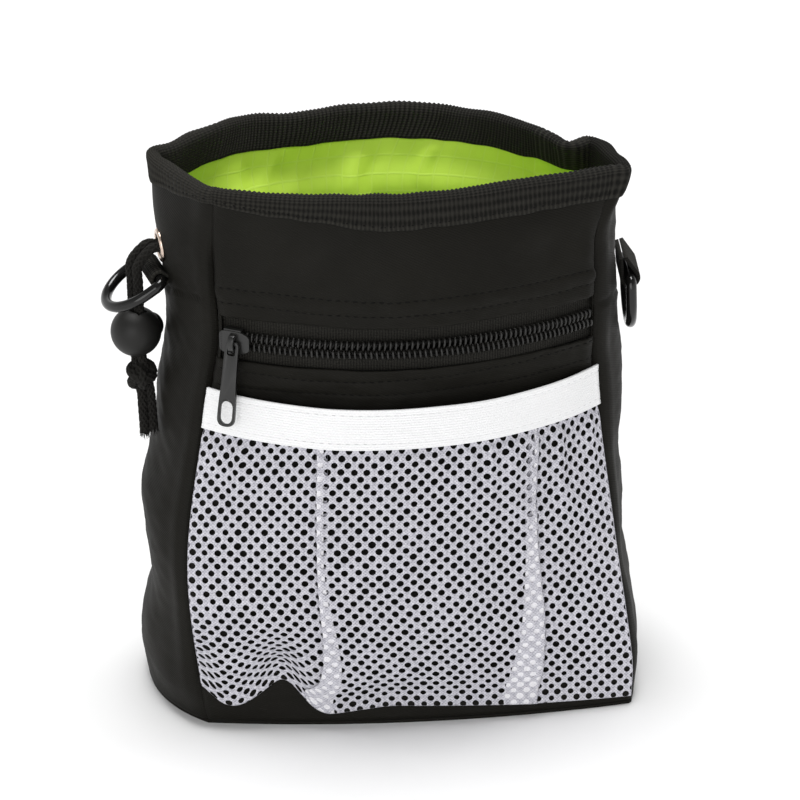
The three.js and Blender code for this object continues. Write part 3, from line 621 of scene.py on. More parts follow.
def eyelet_frame():
    """The eyelet's s and centre, and its side, outward and up directions, as in the CAD."""
    t = np.arange(0.2, 0.9, 0.001)
    _, y = plain_xy(3 + t, np.full_like(t, EYELET_Z))
    best = 3 + t[np.argmin(np.abs(y - EYELET_Y))]
    centre = surface(best, EYELET_Z)
    ahead, behind = surface(best + 0.01, EYELET_Z), surface(best - 0.01, EYELET_Z)
    along = (ahead - behind) / np.linalg.norm(ahead - behind)
    normal = np.array([along[1], -along[0], 0])
    side = np.cross(normal, [0, 0, 1.0])
    up = surface(best, EYELET_Z + 3) - surface(best, EYELET_Z - 3)
    out = np.cross(up, side)
    out /= np.linalg.norm(out)
    up = np.cross(side, out)
    return best, centre, side, out, up


EYELET_S, EYE_C, EYE_SIDE, EYE_OUT, EYE_UP = eyelet_frame()


def in_eyelet(points):
    p = np.asarray(points, float)
    return EYE_C + p[..., :1] * EYE_SIDE + p[..., 1:2] * EYE_OUT + p[..., 2:] * EYE_UP


STRAND_GAP = 2.95       # between the two strands' centres, in the stop


def cord_route(sign):
    """From inside the eyelet, through the stop and the knot, to the cut tail."""
    apart = sign * STRAND_GAP / 2
    x = -80.5 - apart * math.cos(STOP_TURN)
    y = -1 - apart * math.sin(STOP_TURN)
    kx, ky, kz = KNOT_AT
    low = kz - KNOT_R - 0.4
    return np.array([
        in_eyelet((sign * 1.55, -1.3, 0)), in_eyelet((sign * 1.55, 1.8, 0.1)),
        in_eyelet((sign * 1.45, 4.6 + 0.4 * sign, 0.4 * sign)),
        (x + 0.15, y + 0.3, 145 + 0.4 * sign), (x, y, 139), (x, y, 130), (x, y, 121), (x, y, 116),
        (x + 0.3, y - 0.3, 113.2), (kx - sign * 1.5, (y - 0.8 + ky - 0.4) / 2, kz),
        (kx - sign * 1.35 + 1, ky - 0.4, low), (kx - sign * 1.38 + 1.2, ky - 2, low - 5),
        (kx - sign * 1.38 + 1.3, ky - 4, low - 9),
        (kx - sign * 1.4 + 1.3, ky - 5.2, low - 11.6 - 0.5 * sign),
    ])


BRAID_STRANDS, BRAID_PITCH, BRAID_DEPTH = 6.0, 2.3, 0.4


def braid_relief(angle, run):
    """Strands wound both ways round a cord."""
    a = np.cos(BRAID_STRANDS * angle + 2 * np.pi * run / BRAID_PITCH)
    b = np.cos(BRAID_STRANDS * angle - 2 * np.pi * run / BRAID_PITCH)
    return BRAID_DEPTH * (np.maximum(a, b) - 0.55)


def add_cords():
    made = []
    for word, sign in (("a", 1), ("b", -1)):
        path, length = resample(cord_route(sign), 0.28)
        obj = tube(f"cord_{word}", path, CORD_R, 36, BRAID, relief=braid_relief, slot="cord_fabric")
        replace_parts(obj, f"cord_strand_{word}", f"cord_tail_{word}")
        made.append((obj, path, length))
    return made


def add_knot():
    """Three turns of cord pulled tight round the two strands."""
    parts = []
    for tilt, roll, radius, drop in ((30, 12, 3.2, 1.3), (-32, -16, 3.1, -1.3), (8, 70, 3.1, 0.1)):
        a = np.linspace(0, 2 * np.pi, 60, endpoint=False)
        ring = np.stack([radius * np.cos(a), radius * 0.92 * np.sin(a), 0.5 * np.sin(2 * a)], 1)
        turn = Matrix.Rotation(math.radians(tilt), 3, "X") @ Matrix.Rotation(math.radians(roll), 3, "Y")
        ring = ring @ np.array(turn).T + KNOT_AT + (0, 0, drop)
        points = tube_points(ring, KNOT_CORD_R, KNOT_SIDES, True, braid_relief)
        parts.append((points, tube_faces(len(ring), KNOT_SIDES, True)))
    knot = make("cord_knot_turns", *several(parts), BRAID, slot="cord_fabric")
    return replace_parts(knot, "cord_knot")


def add_frays(ends):
    """Loose yarn ends at the cut tails."""
    rng = random.Random(11)
    paths = []
    for path in ends:
        tip, heading = path[-1], path[-1] - path[-8]
        heading = heading / np.linalg.norm(heading)
        for _ in range(46):
            angle, r = rng.uniform(0, 2 * math.pi), CORD_R * math.sqrt(rng.uniform(0.05, 1))
            side = np.array([math.cos(angle), math.sin(angle), 0.15 * rng.uniform(-1, 1)])
            root = tip + side * r - heading * 0.6
            length = rng.uniform(0.9, 2.3)
            bend = side * rng.uniform(0.0, 0.7)
            bend = bend + np.array([rng.uniform(-0.3, 0.3), rng.uniform(-0.3, 0.3), 0])
            paths.append(np.array([root + heading * length * t + bend * t * t
                                   for t in np.linspace(0, 1, 5)]))
    return many_tubes("cord_frays", paths, 0.13, 4, BRAID, [1, 1, 0.8, 0.6, 0.3], slot="cord_fabric")


# ---------------------------------------------------------------- ball stop
BALL_AT, BALL_R = np.array([-80.8, -1, 122.3]), 8.0
BORE_R, BORE_END, BUTTON_R = 4.4, -5.6, 4.2


def in_stop(points):
    c, s = math.cos(STOP_TURN), math.sin(STOP_TURN)
    x, y, z = np.moveaxis(np.asarray(points, float), -1, 0)
    return np.stack([c * x - s * y, s * x + c * y, z], -1) + BALL_AT


def turned(profile, segments, place):
    """A closed body turned about Y from (radius, height) rows, filled where they end on the axis."""
    rows = [(r, h) for r, h in profile if r > 1e-6]
    a = np.linspace(0, 2 * np.pi, segments, endpoint=False)
    points = []
    for r, h in rows:
        points.append(np.stack((r * np.cos(a), np.full_like(a, h), r * np.sin(a)), 1))
    grid = np.arange(len(rows) * segments).reshape(len(rows), segments)
    ring = np.append(np.arange(segments), 0)
    faces = []
    for k in range(len(rows) - 1):
        faces += strip_faces(grid[k, ring], grid[k + 1, ring]).tolist()
    points = np.concatenate(points)
    if profile[0][0] <= 1e-6 or profile[-1][0] <= 1e-6:
        faces += [grid[0].tolist()[::-1], grid[-1].tolist()]
    else:
        faces += strip_faces(grid[-1, ring], grid[0, ring]).tolist()
    return place(points), faces


def apply_modifier(obj):
    graph = bpy.context.evaluated_depsgraph_get()
    done = bpy.data.meshes.new_from_object(obj.evaluated_get(graph))
    obj.modifiers.clear()
    obj.data = done


def cut(obj, *shapes):
    """Takes closed shapes, given as (points, faces), away from obj."""
    for shape in shapes:
        cutter = make("cutter", *shape, obj.data.materials[0])
        modifier = obj.modifiers.new("cut", "BOOLEAN")
        modifier.operation, modifier.solver, modifier.object = "DIFFERENCE", "EXACT", cutter
        apply_modifier(obj)
        bpy.data.objects.remove(cutter)


SHARP = math.radians(35)


def soften(obj, width):
    """Rounds the sharp edges and shades by angle."""
    bevel = obj.modifiers.new("round", "BEVEL")
    bevel.width, bevel.segments, bevel.limit_method = width * MM, 3, "ANGLE"
    bevel.angle_limit, bevel.harden_normals = SHARP, False
    apply_modifier(obj)
    obj.data.polygons.foreach_set("use_smooth", [True] * len(obj.data.polygons))
    obj.data.set_sharp_from_angle(angle=SHARP)
    return obj


def box_body(low, high, place):
    (x0, y0, z0), (x1, y1, z1) = low, high
    corners = [(x, y, z) for x in (x0, x1) for y in (y0, y1) for z in (z0, z1)]
    faces = [(0, 1, 3, 2), (4, 6, 7, 5), (0, 4, 5, 1), (2, 3, 7, 6), (0, 2, 6, 4), (1, 5, 7, 3)]
    return place(np.array(corners)), [list(f) for f in faces]


def add_stop():
    half_turn = np.linspace(-math.pi / 2, math.pi / 2, 49)
    ball = [(BALL_R * math.cos(t), BALL_R * math.sin(t)) for t in half_turn]
    ball[0], ball[-1] = (0, -BALL_R), (0, BALL_R)
    body = make("stop_ball", *turned(ball, 96, in_stop), MOULDED, "stop_plastic", "cord_stop")
    bore = turned([(0, BORE_END), (BORE_R, BORE_END), (BORE_R, 14.4), (0, 14.4)], 64, in_stop)
    slot = box_body((-3.6, -1.9, -15), (3.6, 1.9, 15), in_stop)
    ends = [box_body((-9, -9, low), (9, 9, low + 2), in_stop) for low in (7.35, -9.35)]
    cut(body, bore, slot, *ends)
    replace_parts(soften(body, 0.35), "cord_stop_body")
    dome = [(0, -3), (BUTTON_R - 0.05, -3), (BUTTON_R, -2.8), (BUTTON_R, 6.6)]
    dome += [(BUTTON_R - 2.6 * (1 - math.cos(t)), 6.6 + 2.9 * math.sin(t))
             for t in np.linspace(0.2, 1.35, 9)]
    dome += [(0, 9.55)]
    button = make("stop_button", *turned(dome, 72, in_stop), MOULDED, "stop_plastic",
                  "cord_stop_button")
    cut(button, box_body((-3.4, -1.85, -15), (3.4, 4.65, 15), in_stop))
    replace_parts(soften(button, 0.25), "cord_stop_button")
    t = np.linspace(0, 1, 160)
    coil = np.stack([2.8 * np.cos(t * 5 * np.pi), -5.2 + 1.8 * t, 2.8 * np.sin(t * 5 * np.pi)], 1)
    spring = tube("stop_spring", in_stop(coil), 0.25, 10, SPRING, slot="spring_steel", body="cord_stop")
    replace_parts(spring, "cord_stop_spring")
    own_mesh(spring)
    return body, button


cords = add_cords()
knot = add_knot()
frays = add_frays([path for _, path, _ in cords])
ball, button = add_stop()


# ---------------------------------------------------------------- cloth on the outline
ARC = np.concatenate([[0], np.cumsum(SIDE_LENGTHS)])     # mm round the bag at each corner
FRONT_END, ROUND = ARC[1], ARC[-1]


def to_s(u):
    return np.interp(u, ARC, range(5))


def spaced(low, high, step, fine_at=(), fine=0.4, reach=2.0):
    """Values from low to high about a step apart, closer together near some of them."""
    values = [np.linspace(low, high, int(round((high - low) / step)) + 1)]
    values += [np.arange(max(low, f - reach), min(high, f + reach), fine) for f in fine_at]
    values = np.unique(np.round(np.concatenate(values), 4))
    values = values[np.append(True, np.diff(values) > fine * 0.5)]
    values[-1] = high
    return values


def bump_at(x, centre, width):
    return np.exp(-((x - centre) / width) ** 2)


def creases(u, z):
    """Sewn corners drawn in, with soft creases between them that die out towards the mouth."""
    away = np.min(np.abs(u[..., None] - ARC), -1)
    mouth = 1 - smoothstep(z, 150, 162)
    seam = 0.75 * bump_at(away, 4.2, 2.4) - 1.7 * bump_at(away, 0, 0.95)
    seam = seam * (0.3 + 0.7 * mouth) * (0.4 + 0.6 * smoothstep(z, 4, 20))
    free = (1 - np.exp(-(away / 9) ** 2)) * (1 - smoothstep(z, 148, 160)) * smoothstep(z, 0, 12)
    soft = 0.85 * ripple(u, z, 62, 1) + 0.4 * ripple(u, z, 24, 2) + 0.14 * ripple(u, z * 2, 10, 3)
    return seam + free * soft


STITCH_PITCH = 2.7


def sewn_row(u, z, row):
    """The dip along a row of stitches at height row, deeper where the needle went in."""
    return -bump_at(z, row, 0.5) * (0.2 + 0.13 * np.cos(2 * np.pi * u / STITCH_PITCH))


def channel_rows(u):
    sag = 0.8 * np.sin(np.pi * u / FRONT_END)
    return 145.6 - sag, 141.0 - sag


def upper_relief(u, z):
    high, low = channel_rows(u)
    mid = (high + low) / 2
    tunnel = 0.55 * bump_at(z, mid, 2.0) * (1 + 0.35 * np.sin(2 * np.pi * u / 11))
    pucker = (0.16 * ripple(u, z * 0.4, 8, 4) + 0.3 * ripple(u * 0.3, z, 8, 20)) * bump_at(z, mid, 7)
    pucker = pucker - 1.3 * bump_at(np.hypot(u - 108, (z - 154) * 0.8), 0, 5)
    rows = sewn_row(u, z, high) + sewn_row(u, z, low) - 0.6 * bump_at(z, 136, 0.5)
    return creases(u, z) + tunnel + pucker + rows


def flap_rows(u):
    high = np.interp(u, (0, 32, 75, 125), (119.2, 118, 119, 121))
    return high, np.interp(u, (0, 94, 125), (113.4, 114.6, 115))


def lower_relief(u, z):
    row, low = flap_rows(u)
    pucker = (0.14 * ripple(u, z * 0.4, 8, 5) + 0.3 * ripple(u * 0.3, z, 8, 21)) * bump_at(z, row, 5)
    rows = (sewn_row(u, z, row), sewn_row(u, z, low), -0.6 * bump_at(z, 122.6, 0.5))
    relief = creases(u, z) + pucker + rows[0] + rows[1] + rows[2]
    return relief - np.maximum(relief, 0) * (1 - smoothstep(z, 8, 32))


def side_relief(u, z):
    """The gussets and back: a crosswise seam on each gusset."""
    s = to_s(u)
    seam_at = np.where(s < 2, 133 - 7 * (s - 1), 141 - 8.8 * (4 - s))
    crosswise = np.where((s < 2) | (s > 3), 1.0, 0.0)
    lapped = 0.5 * (1 - smoothstep(z - seam_at, -0.4, 0.1)) * bump_at(np.minimum(z - seam_at, 0), 0, 9)
    left = np.where(s > 3, np.sin(np.pi * np.clip(s - 3, 0, 1)), 0.0)
    right = np.sqrt(np.sin(np.pi * np.clip(s - 1, 0, 1)).clip(0))
    belly = left * (3.2 * bump_at(z, 67, 14) - 2.6 * bump_at(z, 37, 11) + 0.8 * bump_at(z, 160, 8))
    belly = belly + right * (2.4 * bump_at(z, 104, 17) - 2.0 * bump_at(z, 46, 11))
    return creases(u, z) + belly + crosswise * (lapped - 0.8 * bump_at(z, seam_at, 0.5))


def cloth(name, u, z, relief, nodes=(), base=0.0, thick=0.9, slack=0.0, material=NYLON,
          slot="black_fabric", wrap=False, warp=None):
    """A panel over the values u round the bag and z up it. warp may move the points of the grid."""
    uu, zz = np.meshgrid(u, z, indexing="ij")
    flat = np.stack([uu, zz], -1)
    if warp is not None:
        uu, zz = warp(uu, zz)
    out = base + relief(uu, zz)
    s = to_s(uu)
    obj = shell(name, surface(s, zz, out, slack), surface(s, zz, out - thick, slack), material,
                coords=flat, wrap=wrap, slot=slot)
    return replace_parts(obj, *nodes) if nodes else obj


def row_on(u, z, relief, base=0.0, slack=0.0):
    """Points and outward normals along a row on a panel."""
    out = base + relief(u, z)
    points = surface(to_s(u), z, out, slack)
    normals = surface(to_s(u), z, out + 1, slack) - points
    return points, normals


EYELET_U = np.interp(EYELET_S, range(5), ARC)
EYELET_HOLE, EYELET_REACH = 3.75, 12


def round_eyelet(u, z):
    """Draws the cloth's grid apart into a round hole at the eyelet."""
    du, dz = u - EYELET_U, z - EYELET_Z
    away = np.maximum(np.hypot(du, dz), 1e-6)
    pushed = EYELET_HOLE + away * (EYELET_REACH - EYELET_HOLE) / EYELET_REACH
    pushed = np.where(away < EYELET_REACH, pushed, away)
    return EYELET_U + du * pushed / away, EYELET_Z + dz * pushed / away


def add_body():
    for word, low, high in (("left", 0.0, 2.2), ("right", FRONT_END - 1.6, FRONT_END)):
        cloth(f"zip_end_{word}", spaced(low, high, 0.4), spaced(121, 137.4, 0.8), creases, base=-0.35,
              thick=0.5)
    cloth("bag_front_lower", spaced(0.0, FRONT_END, 1.1, (0, FRONT_END), 0.5),
          spaced(1.3, 122.2, 1.2, (120, 114, 122)), lower_relief, ("front_panel_lower",))
    cloth("bag_front_upper", spaced(0.0, FRONT_END, 0.8, (0, FRONT_END), 0.4),
          spaced(136.2, 174, 1.1, (136.4, 140.5, 145)), upper_relief, ("front_panel_upper",))
    z = spaced(1.3, 174, 1.25, (EYELET_Z,), 0.5, 7)
    u = spaced(FRONT_END, ROUND, 1.25, tuple(ARC[1:]) + (EYELET_U,), 0.5, 4)
    panels = ("right_gusset_lower", "right_gusset_upper", "left_gusset_lower", "left_gusset_upper",
              "back_panel")
    cloth("bag_sides_back", u, z, side_relief, panels, warp=round_eyelet)


BINDING_LOW = ((0, 27.25, 52.75, 90.5, 121.75, 150, 181, 301, 335, 363),
               (172, 169, 166, 167, 167, 166, 165.5, 165.5, 168, 172))


def binding_low(u):
    return np.interp(u, *BINDING_LOW)


def binding_soft(u, z):
    return 0.22 * ripple(u, z * 1.5, 20, 9)


def binding_section(u):
    """(offset, z) of the mouth tape: up the outside, over the top and down the inside."""
    top = 176.4 + 0.3 * ripple(u, 0 * u, 34, 6)
    wide = 2.25
    mid = -1.15
    low = binding_low(u) + 0.3 * ripple(u, 0 * u, 12, 7)
    t = np.linspace(0, 1, 11)[None, :]
    up = np.stack([mid + wide + 0 * t * u[:, None], low[:, None] + t * (top - wide - low)[:, None]], -1)
    a = np.linspace(0, np.pi, 9)[None, 1:-1]
    over = np.stack([mid + wide * np.cos(a) + 0 * u[:, None],
                     (top - wide)[:, None] + wide * np.sin(a)], -1)
    inner_low = 165.5 + 0.4 * ripple(u, 0 * u, 15, 8)
    t = t[:, ::-1]
    rise = inner_low[:, None] + t * (top - wide - inner_low)[:, None]
    down = np.stack([mid - wide + 0 * t * u[:, None], rise], -1)
    return np.concatenate([up, over, down], 1)


def add_binding():
    """Ribbed tape folded over the mouth and stitched through."""
    u = np.arange(0, ROUND, GROSGRAIN_RIB / 5)
    section = binding_section(u)
    along = np.gradient(section, axis=1)
    normal = np.stack([along[..., 1], -along[..., 0]], -1)
    normal /= np.linalg.norm(normal, axis=-1, keepdims=True)
    soft = binding_soft(u[:, None], section[..., 1])
    ribs = 0.2 * np.cos(2 * np.pi * u / GROSGRAIN_RIB)[:, None]
    k = np.arange(section.shape[1])
    ribs = ribs * np.clip(np.minimum(k, k[::-1]) / 1.5, 0, 1)[None, :]
    outer = section + normal * (ribs + soft)[..., None]
    inner = section + normal * (soft - 0.85)[..., None]
    s = to_s(u)[:, None]
    run = np.concatenate([[0], np.cumsum(np.linalg.norm(np.diff(section[0], axis=0), axis=1))])
    flat = np.stack(np.broadcast_arrays(u[:, None], run[None, :]), -1)
    grids = [surface(s, side[..., 1], side[..., 0]) for side in (outer, inner)]
    made = shell("rim_binding", *grids, GROSGRAIN, coords=flat, wrap=True, slot="grosgrain")
    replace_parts(made, "mouth_binding")
    row = row_on(u, binding_low(u) + 1.3, binding_soft, 1.15)
    stitches("rim_stitches", row, 2 * GROSGRAIN_RIB, 1.8, THREAD, 0.2, 0.12, slot="grosgrain")


def lining_offset(z):
    return -5.6 + 4.1 * smoothstep(z, 150, 160)


def lining_relief(u, z):
    """Creases in the lining only go inwards, away from the drawstring."""
    folds = 2.3 * ripple(u, z * 0.35, 30, 10) + 0.8 * ripple(u, z, 14, 11)
    return lining_offset(z) - np.maximum(folds + 0.4, 0.0) * (1 - smoothstep(z, 158, 166)) - 0.15


def disc(name, offset, z, thick, material, slot, node, lumps):
    """A sheet across the bag, with the outline as its edge."""
    u = np.linspace(0, ROUND, 260, endpoint=False)
    t = np.linspace(0, 1, 40)[None, :, None]
    edge = surface(to_s(u), z, offset)[:, None, :]
    centre = edge.mean(axis=0, keepdims=True)
    top = centre + (edge - centre) * t
    top[..., 2] += thick + lumps * ripple(top[..., 0], top[..., 1], 30, 12) * np.sin(np.pi * t[..., 0])
    obj = shell(name, top, top - (0, 0, thick), material, coords=top[..., :2], wrap=True, slot=slot,
                weld=True)
    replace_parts(obj, node)


def add_insides():
    u = np.linspace(0, ROUND, 280, endpoint=False)
    cloth("lining", u, spaced(2.6, 174, 1.8), lining_relief, ("lining_wall",), thick=0.7, material=LIME,
          slot="lining_fabric", wrap=True)
    disc("lining_bottom", -5.9, 2.3, 0.6, LIME, "lining_fabric", "lining_floor", 0.1)
    disc("base", -0.2, 0.0, 1.0, NYLON, "black_fabric", "base_panel", 0.0)
    cloth("zip_pocket", spaced(3.75, 121.2, 1.5), spaced(45, 142, 1.5),
          lambda u, z: 0.15 * ripple(u, z, 30, 13), ("zip_pocket_backing",), base=-4.35, thick=0.4)


# ---------------------------------------------------------------- mesh pocket
ARCH_U = np.linspace(0, FRONT_END, 501)
ARCH_Z = np.interp(ARCH_U / FRONT_END,
                   (0, .014, .044, .08, .118, .155, .19, .215, .24, .276, .424, .748, 1),
                   (17, 15, 8, 7.5, 10.5, 14.5, 18.5, 15, 8, 4, 6.5, 4, 3))
SOFTEN = np.hanning(37) / np.hanning(37).sum()
ARCH_Z = np.convolve(np.pad(ARCH_Z, 18, mode="edge"), SOFTEN, "valid")
LEFT_FOLD = ((7.5, 15.5, 23, 33.5, 48.5, 65, 87.5, 99),
             (.236, .270, .286, .294, .296, .296, .290, .284))
RIGHT_FOLD = ((5.5, 26, 40, 60.5, 74.5, 85, 101), (.770, .792, .798, .792, .790, .796, .806))
LEFT_STRIP = ((7, 26, 47, 60), (7.7, 4.8, 2.6, 2.0))
RIGHT_STRIP = ((11, 33, 50, 67, 68), (9.9, 6.6, 4.6, 2.6, 1.2))
MESH_LOW, MESH_TOP = 2.8, 100.4


def fold_left(z):
    return FRONT_END * np.interp(z, *LEFT_FOLD)


def fold_right(z):
    return FRONT_END * np.interp(z, *RIGHT_FOLD)


def arched(u, z):
    """Lifts the net's lower rows to the curved line it is sewn along."""
    lift = np.interp(u, ARCH_U, ARCH_Z) - MESH_LOW
    return z + lift * (1 - smoothstep(z, MESH_LOW, 40))


def net_relief(u, z):
    """Small gathers under the band and soft waves lower down."""
    total = 0.5 * ripple(u, z, 30, 14) + 0.2 * ripple(u, z, 13, 15)
    gathers = ((.63, 1.0), (.68, 1.2), (.73, 1.0), (.864, 1.3), (.962, 0.9), (.107, 1.5), (.45, 0.5))
    for at, high in gathers:
        total = total + high * bump_at(u, FRONT_END * at, 1.9) * smoothstep(z, 55, 94)
    low_left = (1 - smoothstep(z, 8, 34)) * (1 - smoothstep(u, 26, 36))
    total = total + 1.1 * ripple(u * 0.6, z, 17, 16) * low_left
    return total * smoothstep(z, 3, 14) * (1 - smoothstep(z, 94, 100))


def net_place(u, z, lift):
    """Where the net's cloth point (u, z) lies, lifted off the pocket's surface."""
    zz = arched(u, z)
    sewn = smoothstep(zz - np.interp(u, ARCH_U, ARCH_Z), 0, 16)
    edges = smoothstep(np.minimum(u, FRONT_END - u), 0, 6)
    tuck = 1 - smoothstep(z, 95, 99.5)
    out = 0.45 + (lift + net_relief(u, zz) * edges) * (0.25 + 0.75 * np.minimum(sewn, 1)) * tuck
    return surface(to_s(u), zz, out, sewn * 0.97 + 0.03)


NET_THICK, NET_HOLE_R = 0.42, 0.93


def net(name, low, high, lift, slope, fold=1.0):
    """Warp-knitted net between two edges given as functions of z, with a round hole in every diamond.
    slope tilts its rows; fold lifts its free edges."""
    rng = np.random.default_rng(sum(map(ord, name)))
    sides = 12
    corner = np.linspace(0, 1, 4)[:3]
    rim = []
    for k in range(4):
        a, b = k * np.pi / 2, (k + 1) * np.pi / 2
        for t in corner:
            rim.append(((1 - t) * np.cos(a) + t * np.cos(b), (1 - t) * np.sin(a) + t * np.sin(b)))
    rim = np.array(rim) * (HOLE_X / 2, HOLE_Y / 2)
    turn = np.arctan2(rim[:, 1], rim[:, 0])
    cells = []
    for j in range(-12, 56):
        for i in range(-2, 38):
            cells.append(((i + 0.5 * (j % 2)) * HOLE_X, MESH_LOW + j * HOLE_Y / 2))
    cells = np.array(cells)
    u, z = cells.T
    keep = (z + slope * u > MESH_LOW - 3) & (z + slope * u < MESH_TOP + 3)
    keep &= (u > low(z + slope * u) - 2.6) & (u < high(z + slope * u) + 2.6)
    cells = cells[keep]
    radius = NET_HOLE_R * (1 + 0.07 * rng.standard_normal((len(cells), 1)))
    centre = cells[:, None, :] + 0.07 * rng.standard_normal((len(cells), 1, 2))
    circle = np.stack([np.cos(turn), np.sin(turn) * 1.08], 1)[None]
    hole = centre + radius[..., None] * circle
    ring = cells[:, None, :] + rim[None]
    middle, wider = hole * 0.5 + ring * 0.5, hole + 0.08 * circle
    layers = [(ring, 0.0), (middle, 0.10), (wider, 0.03), (hole, -NET_THICK * 0.5),
              (wider, -NET_THICK), (ring, -NET_THICK)]
    placed, flats = [], []
    for grid, up in layers:
        gz = np.clip(grid[..., 1] + slope * grid[..., 0], MESH_LOW, MESH_TOP)
        lo, hi = low(gz), high(gz)
        gu = np.clip(grid[..., 0], lo, hi)
        near = np.minimum(gu - lo, hi - gu)
        rise = lift + fold * (0.6 * bump_at(near, 0, 7) - 0.35 * bump_at(near, 0, 0.45)) + up
        placed.append(net_place(gu, gz, rise))
        flats.append(grid)
    points = np.stack(placed, 1)
    flats = np.stack(flats, 1)
    count, rows = points.shape[:2]
    base = np.arange(count * rows * sides).reshape(count, rows, sides)
    faces = []
    for r in range(rows - 1):
        a, b = base[:, r, :], base[:, r + 1, :]
        a1, b1 = np.roll(a, -1, 1), np.roll(b, -1, 1)
        faces.append(np.stack([a, a1, b1, b], -1).reshape(-1, 4))
    return make(name, points, np.concatenate(faces), YARN, coords=flats, slot="mesh_fabric", weld=True)


def add_pocket():
    net("mesh_left", lambda z: 0 * z + 0.6, lambda z: fold_left(z) + 3.0, 0.7, slope=0.13, fold=0)
    net("mesh_right", lambda z: fold_right(z) - 3.0, lambda z: 0 * z + 124.4, 0.7, slope=-0.03, fold=0)
    centre = net("mesh_centre", fold_left, fold_right, 1.45, slope=0.01)
    folds = ("left", fold_left, LEFT_STRIP, 1), ("right", fold_right, RIGHT_STRIP, -1)
    for word, edge, width, way in folds:
        t, z = np.meshgrid(np.linspace(0, 1, 9), np.arange(MESH_LOW, MESH_TOP, 0.9), indexing="ij")
        u = edge(z) + way * (0.25 + t * (np.interp(z, *width) - 0.25))
        rise = 1.45 + 0.45 * bump_at(t, 0, 0.8) - 0.18
        shell(f"mesh_fold_{word}", net_place(u, z, rise), net_place(u, z, rise - 0.4), LAYERED,
              coords=np.stack([u, z], -1), slot="mesh_fabric")
    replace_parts(centre, "mesh_pocket")

    low, high = 100.8, 110.2       # the band's rows of stitches

    def band_relief(u, z):
        return (0.25 * ripple(u, z * 0.5, 26, 17) * smoothstep(np.minimum(u, FRONT_END - u), 0, 8)
                - 0.12 * bump_at(z, low, 0.4) - 0.12 * bump_at(z, high, 0.4)
                + 0.05 * np.cos(2 * np.pi * z / 0.85))

    def droop(u, z):
        return u, z + 0.6 * np.interp(u / FRONT_END, (0, .3, 1), (0.5, -0.6, 0.6))

    cloth("pocket_band", spaced(0.5, 124.5, 0.9), spaced(98.8, 112, 0.22), band_relief,
          ("pocket_top_band",), base=2.0, thick=0.8, slack=1.0, material=WHITE, slot="elastic", warp=droop)
    u = np.linspace(1, 124, 400)
    for word, z in (("low", low), ("high", high)):
        _, zz = droop(u, z + 0 * u)
        stitches(f"band_stitches_{word}", row_on(u, zz, band_relief, 2.0, 1.0), STITCH_PITCH, 1.7,
                 WHITE_THREAD, 0.2, 0.1, slot="elastic")


add_body()
add_binding()
add_insides()
add_pocket()
across = np.linspace(1.5, FRONT_END - 1.5, 400)
for words, rows, relief in ((("channel_high", "channel_low"), channel_rows, upper_relief),
                            (("flap", "pocket"), flap_rows, lower_relief)):
    for word, z in zip(words, rows(across)):
        stitches(f"stitches_{word}", row_on(across, z, relief), STITCH_PITCH, 1.9, THREAD, 0.22, 0.22,
                 slot="black_fabric")


# ---------------------------------------------------------------- zip
ZIP_Z, HALF_CHORD, ZIP_BOW = 129.0, 59.5, 18.5
ZIP_R = (HALF_CHORD**2 + ZIP_BOW**2) / (2 * ZIP_BOW)
ZIP_CENTRE = (2.0, -24 - ZIP_BOW + ZIP_R)
ZIP_RUN = ZIP_R * math.asin((HALF_CHORD - 1.2) / ZIP_R)
TOOTH = 1.65
SLIDER_AT, PULL_TILT = -30.6, -14       # degrees round the zip's arc, and out from the slider
WINDOW_Z = -21.5                        # the middle of the slot in the pull's end


def on_zip_line(run, offset, z):
    run, offset, z = np.broadcast_arrays(run, offset, z)
    a, r = run / ZIP_R, ZIP_R + offset
    return np.stack([ZIP_CENTRE[0] + r * np.sin(a), ZIP_CENTRE[1] - r * np.cos(a), z], -1)


def at_slider(points):
    """From the slider's frame: X along the zip, -Y outwards, Z up."""
    a = math.radians(SLIDER_AT)
    p = np.asarray(points, float)
    place = on_zip_line(np.array(ZIP_R * a), 0.0, ZIP_Z)
    return np.stack([p[..., 0] * math.cos(a) - p[..., 1] * math.sin(a),
                     p[..., 0] * math.sin(a) + p[..., 1] * math.cos(a), p[..., 2]], -1) + place


def at_pull(points):
    """From the pull's frame, hinged in front of the slider and tilted out."""
    t = math.radians(PULL_TILT)
    p = np.asarray(points, float)
    y = p[..., 1] * math.cos(t) - p[..., 2] * math.sin(t)
    z = p[..., 1] * math.sin(t) + p[..., 2] * math.cos(t)
    return at_slider(np.stack([p[..., 0], y - 2.8, z], -1))


